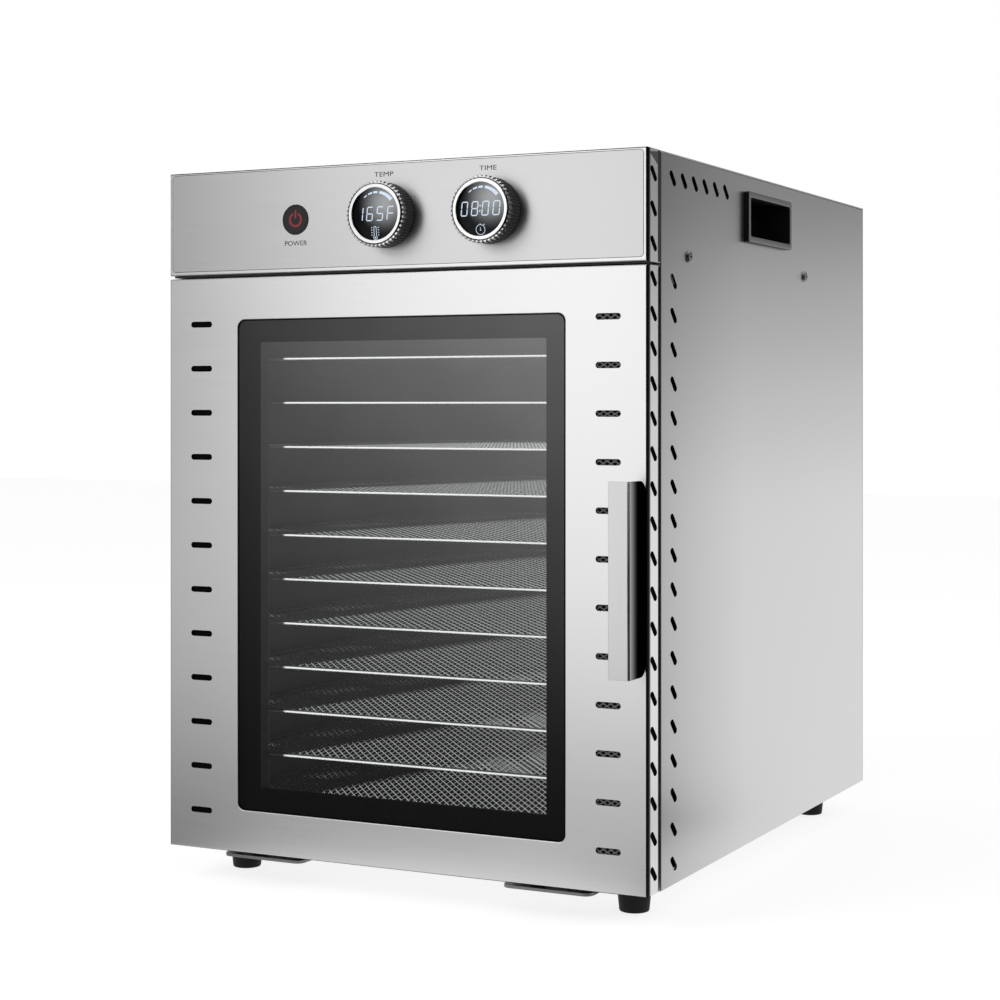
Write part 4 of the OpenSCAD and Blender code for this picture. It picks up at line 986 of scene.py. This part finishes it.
cups = bmesh.new()
for side in (-1, 1):
    cup = loft([cup_ring(side, *ring) for ring in (
        (wall, hollow, 5), (wall, reach - 4, 5), (rim_w, reach - 4, 2.2), (rim_w, reach - 0.35, 2.2),
        (rim_w - 0.1, reach - 0.1, 2.1), (rim_w - 0.35, reach, 2), (0.35, reach, 2.2),
        (0.1, reach - 0.1, 2), (0, reach - 0.35, 2), (0, hollow + wall, 3))])
    for face in cup.faces:
        face.material_index = int(abs(face.calc_center_median().x) > high.x - 0.0002)
    join_to(cups, cup)
cups = finished("hand_cups", cups, cup_black, "cabinet", "black_plastic", "cup_handles")
cups.data.materials.append(cup_rim)

# ---- Feet and door rests ----
# Moulded rubber feet, wider at the top; small folded steel plates carry the closed door's edge.

foot_rubber = surface("foot_rubber", (0.006, 0.006, 0.006), 0.6, size=0.7, shade=0.25, relief=0.4,
                      Specular_IOR_Level=0.2)
low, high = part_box("feet")
foot_h, top_r, bottom_r, screw_r, head_r = 21.0, 11.75, 9.75, 1.9, 4.5
feet = bmesh.new()
for x in (low.x + top_r / 1000, high.x - top_r / 1000):
    for y in (low.y + top_r / 1000, high.y - top_r / 1000):
        foot = turned([(head_r, 0.3), (head_r + 0.3, 0), (bottom_r - 1.2, 0), (bottom_r - 0.35, 0.35),
                       (bottom_r, 1.2), (top_r - 0.1, foot_h - 0.6), (top_r - 0.3, foot_h),
                       (screw_r, foot_h), (screw_r, foot_h - 6), (head_r, foot_h - 6)], True, 64)
        join_to(feet, moved(foot, Matrix.Translation((x, y, low.z))))
finished("rubber_feet", feet, foot_rubber, "cabinet", "foot_rubber", "feet")

rests = plates_of("door_rest_plates")
soften(rests, sharp_edges(rests), 0.25, 2)
rest_steel = surface("rest_steel", (0.20, 0.20, 0.205), 0.4, 1.0, size=0.8, shade=0.1)
finished("door_rests", rests, rest_steel, "cabinet", "hardware", "door_rest_plates")

# ---- Screws ----
# Zinc-plated pan-head screws with cross recesses: casing sides and back, feet, door rests, handle.

zinc = surface("screw_zinc", (0.30, 0.30, 0.30), 0.28, 1.0, shade=0.12, relief=0.2)


def pan_screw(head_r, head_h, shank_r, shank, place):
    """A screw whose head points along Z from its seat at zero; place is its matrix."""
    arm, half_w, bend = 2.1, 0.42, 1.1
    cross = []
    for turn in range(4):
        level, upright = cos(radians(90 * turn)), sin(radians(90 * turn))
        for x, y in ((arm, 0), (arm, half_w), (bend, half_w), (half_w, half_w), (half_w, bend),
                     (half_w, arm)):
            cross.append((x * level - y * upright, x * upright + y * level))
    rings = [[(x * share, y * share, z) for x, y in cross] for share, z in (
        (0.6, head_h * 0.35), (1, head_h - 0.05))]
    for r, z in ((2.5, head_h), (head_r * 0.86, head_h * 0.88), (head_r * 0.97, head_h * 0.6),
                 (head_r, head_h * 0.3), (head_r, 0), (shank_r, 0), (shank_r, 1 - shank),
                 (shank_r * 0.5, -shank)):
        rings.append([(x, y, z) for x, y in circle_outline(0, 0, r, len(cross))])
    return moved(loft(rings), place)


def boxes_of(node):
    """The boxes of a CAD part's separate solids."""
    form = solids_of(node)
    boxes = [[Vector([pick(v.co[i] for v in points) for i in range(3)]) for pick in (min, max)]
             for points in groups_of(form.edges)]
    form.free()
    return boxes


head_r = 3.99
screws = bmesh.new()
for low, high in boxes_of("case_screws"):
    centre, size, head_h = (low + high) / 2, high - low, 0.0018
    if size.x > max(size.y, size.z):
        side = 1 if centre.x > 0 else -1
        seat = Vector((side * (max(abs(low.x), abs(high.x)) - head_h), centre.y, centre.z))
        turn = Matrix.Rotation(side * radians(90), 4, "Y")
    elif size.y > max(size.x, size.z):
        seat = Vector((centre.x, high.y - head_h, centre.z))
        turn = Matrix.Rotation(radians(-90), 4, "X")
    else:
        seat = Vector((centre.x, centre.y, low.z + head_h))
        turn = Matrix.Rotation(radians(180), 4, "X")
    join_to(screws, pan_screw(head_r, 1.79, 1.8, 8, Matrix.Translation(seat) @ turn))
finished("casing_screws", screws, zinc, "cabinet", "hardware", "case_screws")

screws = bmesh.new()
nut_w, nut_h = 0.007, 0.003
for low, high in boxes_of("handle_screws"):
    centre, head_h = (low + high) / 2, 0.0022
    seat = Vector((centre.x, low.y + head_h, centre.z))
    join_to(screws, pan_screw(head_r, head_h * 1000, 2, 7, Matrix.Translation(seat) @ to_front))
    nut = block(screws, (centre.x, high.y - 0.0025, centre.z), (nut_w, nut_h, nut_w))
    soften(screws, list({e for v in nut["verts"] for e in v.link_edges}), 0.4, 2)
finished("handle_fixings", screws, zinc, "door", "hardware", "handle_screws")
dress(zinc, "hinge_pins", "lower_hinge_bracket", "strike_plates", "heater_clips", "temp_sensor")

# ---- Drying chamber ----
# Stainless liner sheets, tray rails and crumb tray round the chamber, painted dark as the shade inside the
# closed chamber.

liner_steel = surface("liner_steel", (0.065, 0.065, 0.067), 0.5, 0.4, grain=(1, 1, 0.02), size=1.2,
                      shade=0.12, cloud=10)
dress(liner_steel, "liner_left", "liner_right", "liner_ceiling", "liner_floor", "air_guide", "rear_bulkhead",
      "crumb_tray", "tray_rails")

# ---- Trays ----
# Twelve trays: a welded rod frame round a sheet of bright expanded mesh.

tray_steel = surface("tray_steel", (0.1, 0.1, 0.1), 0.3, size=0.8, shade=0.08)
mesh_steel = surface("mesh_steel", (0.1, 0.1, 0.1), 0.35, size=0.8, shade=0.1, Specular_IOR_Level=0.2)
# The flat band round each mesh is painted near black: a painted reflection of the dark chamber.
dark_reflection_band = surface("tray_band_painted_reflection", (0.015, 0.015, 0.015), 0.4, size=0.8, shade=0.1)
low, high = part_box("tray_01")
inset, bend_r, rod_r = 1.2, 10.8, 0.7
rod_z = low.z * 1000 + inset
x1, y0, y1 = high.x * 1000 - inset, low.y * 1000 + inset, high.y * 1000 - inset
frame_line = rounded_outline(-x1, x1, y0, y1, bend_r, 8)
rings = []
for n, here in enumerate(frame_line):
    before, after = frame_line[n - 1], frame_line[(n + 1) % len(frame_line)]
    along = Vector((after[0] - before[0], after[1] - before[1])).normalized()
    out = Vector((along.y, -along.x))
    rings.append([(here[0] + out.x * across, here[1] + out.y * across, up)
                  for across, up in circle_outline(0, rod_z, rod_r, 10)])
tray = loft(rings, True)

front_margin, margin = 6.0, 3.6
diamond_short, diamond_long, lean = 4.8, 20, radians(26)
strand_w, strand_t = 0.52, 0.2
mesh_z, band_t = rod_z + 0.45, 0.4
edges_x, edges_y = (-x1 + margin, x1 - margin), (y0 + front_margin, y1 - margin)
middle_y, half_y = (y0 + y1) / 2, (y1 - y0) / 2


def clipped(start, end):
    """The part of a line from start to end that lies inside the tray's frame, or nothing."""
    first, last = 0.0, 1.0
    for a, b, (lower, upper) in zip(start, end, (edges_x, edges_y)):
        if abs(b - a) < 0.000001:
            if not lower < a < upper:
                return None
            continue
        t0, t1 = sorted(((lower - a) / (b - a), (upper - a) / (b - a)))
        first, last = max(first, t0), min(last, t1)
    if last - first < 0.02:
        return None
    return [(start[0] + (end[0] - start[0]) * t, start[1] + (end[1] - start[1]) * t) for t in (first, last)]


strands = []
for side in (-1, 1):
    dx, dy = side * diamond_short / 2, diamond_long / 2
    strands.append((dx * cos(lean) - dy * sin(lean), dx * sin(lean) + dy * cos(lean)))
count, overrun = 110, 8
for i in range(-count, count + 1):
    for j in range(-count, count + 1):
        x = strands[0][0] * i + strands[1][0] * j
        y = strands[0][1] * i + strands[1][1] * j + middle_y
        if abs(x) > x1 + overrun or abs(y - middle_y) > half_y + overrun:
            continue
        for run_x, run_y in strands:
            line = clipped((x, y), (x + run_x, y + run_y))
            if not line:
                continue
            long = hypot(run_x, run_y)
            out_x, out_y = -run_y / long * strand_w / 2, run_x / long * strand_w / 2
            ends = [[tray.verts.new(((px + s * out_x) / 1000, (py + s * out_y) / 1000,
                                     (mesh_z + t * strand_t / 2) / 1000))
                     for s, t in ((-1, -1), (-1, 1), (1, 1), (1, -1))] for px, py in line]
            for n in range(4):
                patch = (ends[0][n - 1], ends[0][n], ends[1][n], ends[1][n - 1])
                tray.faces.new(patch).material_index = 1
band_line = rounded_outline(*edges_x, *edges_y, 0.3, 8)
edges = []
for z, turn in ((mesh_z + band_t / 2, 1), (mesh_z - band_t / 2, -1)):
    outer, inner = [[tray.verts.new((x / 1000, y / 1000, z / 1000)) for x, y in line]
                    for line in (frame_line, band_line)]
    for n in range(len(outer)):
        tray.faces.new((outer[n - 1], outer[n], inner[n], inner[n - 1])[::turn]).material_index = 2
    edges.append(inner)
for n in range(len(band_line)):
    tray.faces.new((edges[0][n - 1], edges[0][n], edges[1][n], edges[1][n - 1]))

for number in range(1, 13):
    node = f"tray_{number:02d}"
    one = tray.copy()
    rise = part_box(node)[0].z - low.z
    bmesh.ops.translate(one, verts=one.verts, vec=(0, 0, rise))
    piece = finished(node + "_mesh", one, tray_steel, "cabinet", "tray_steel", node)
    piece.data.materials.append(mesh_steel)
    piece.data.materials.append(dark_reflection_band)
    lit_by_tray_lamp.objects.link(piece)
tray.free()

# ---- Air and electrical parts ----
# Fan, motor, heater and boards behind and above the chamber, hidden when the casing is closed.

for name, colour, rough, metal, size, shade, relief, *nodes in (
        ("fan_steel", (0.55, 0.55, 0.56), 0.35, 1.0, 0.8, 0.1, 0.2, "fan_impeller"),
        ("motor_grey", (0.16, 0.16, 0.17), 0.45, 0.8, 0.9, 0.15, 0.3, "fan_motor"),
        ("heater_dark", (0.12, 0.10, 0.09), 0.5, 0.8, 0.9, 0.2, 0.3, "heater_ring", "thermal_cutout"),
        ("board_green", (0.02, 0.14, 0.05), 0.4, 0.0, 2.0, 0.2, 0.2, "control_board", "power_board"),
        ("brass", (0.62, 0.45, 0.18), 0.3, 1.0, 0.6, 0.1, 0.1, "board_standoffs"),
        ("nylon", (0.72, 0.71, 0.67), 0.5, 0.0, 0.8, 0.05, 0.1, "hinge_bushes"),
        ("cable_black", (0.02, 0.02, 0.02), 0.55, 0.0, 0.7, 0.2, 0.3, "mains_lead"),
        ("magnet_grey", (0.20, 0.20, 0.21), 0.4, 0.7, 0.6, 0.15, 0.2, "catch_magnets"),
        ("plastic_black", (0.02, 0.02, 0.021), 0.45, 0.0, 0.5, 0.2, 0.3, "power_inlet", "button_switch",
         "encoders")):
    dress(surface(name, colour, rough, metal, size=size, shade=shade, relief=relief), *nodes)
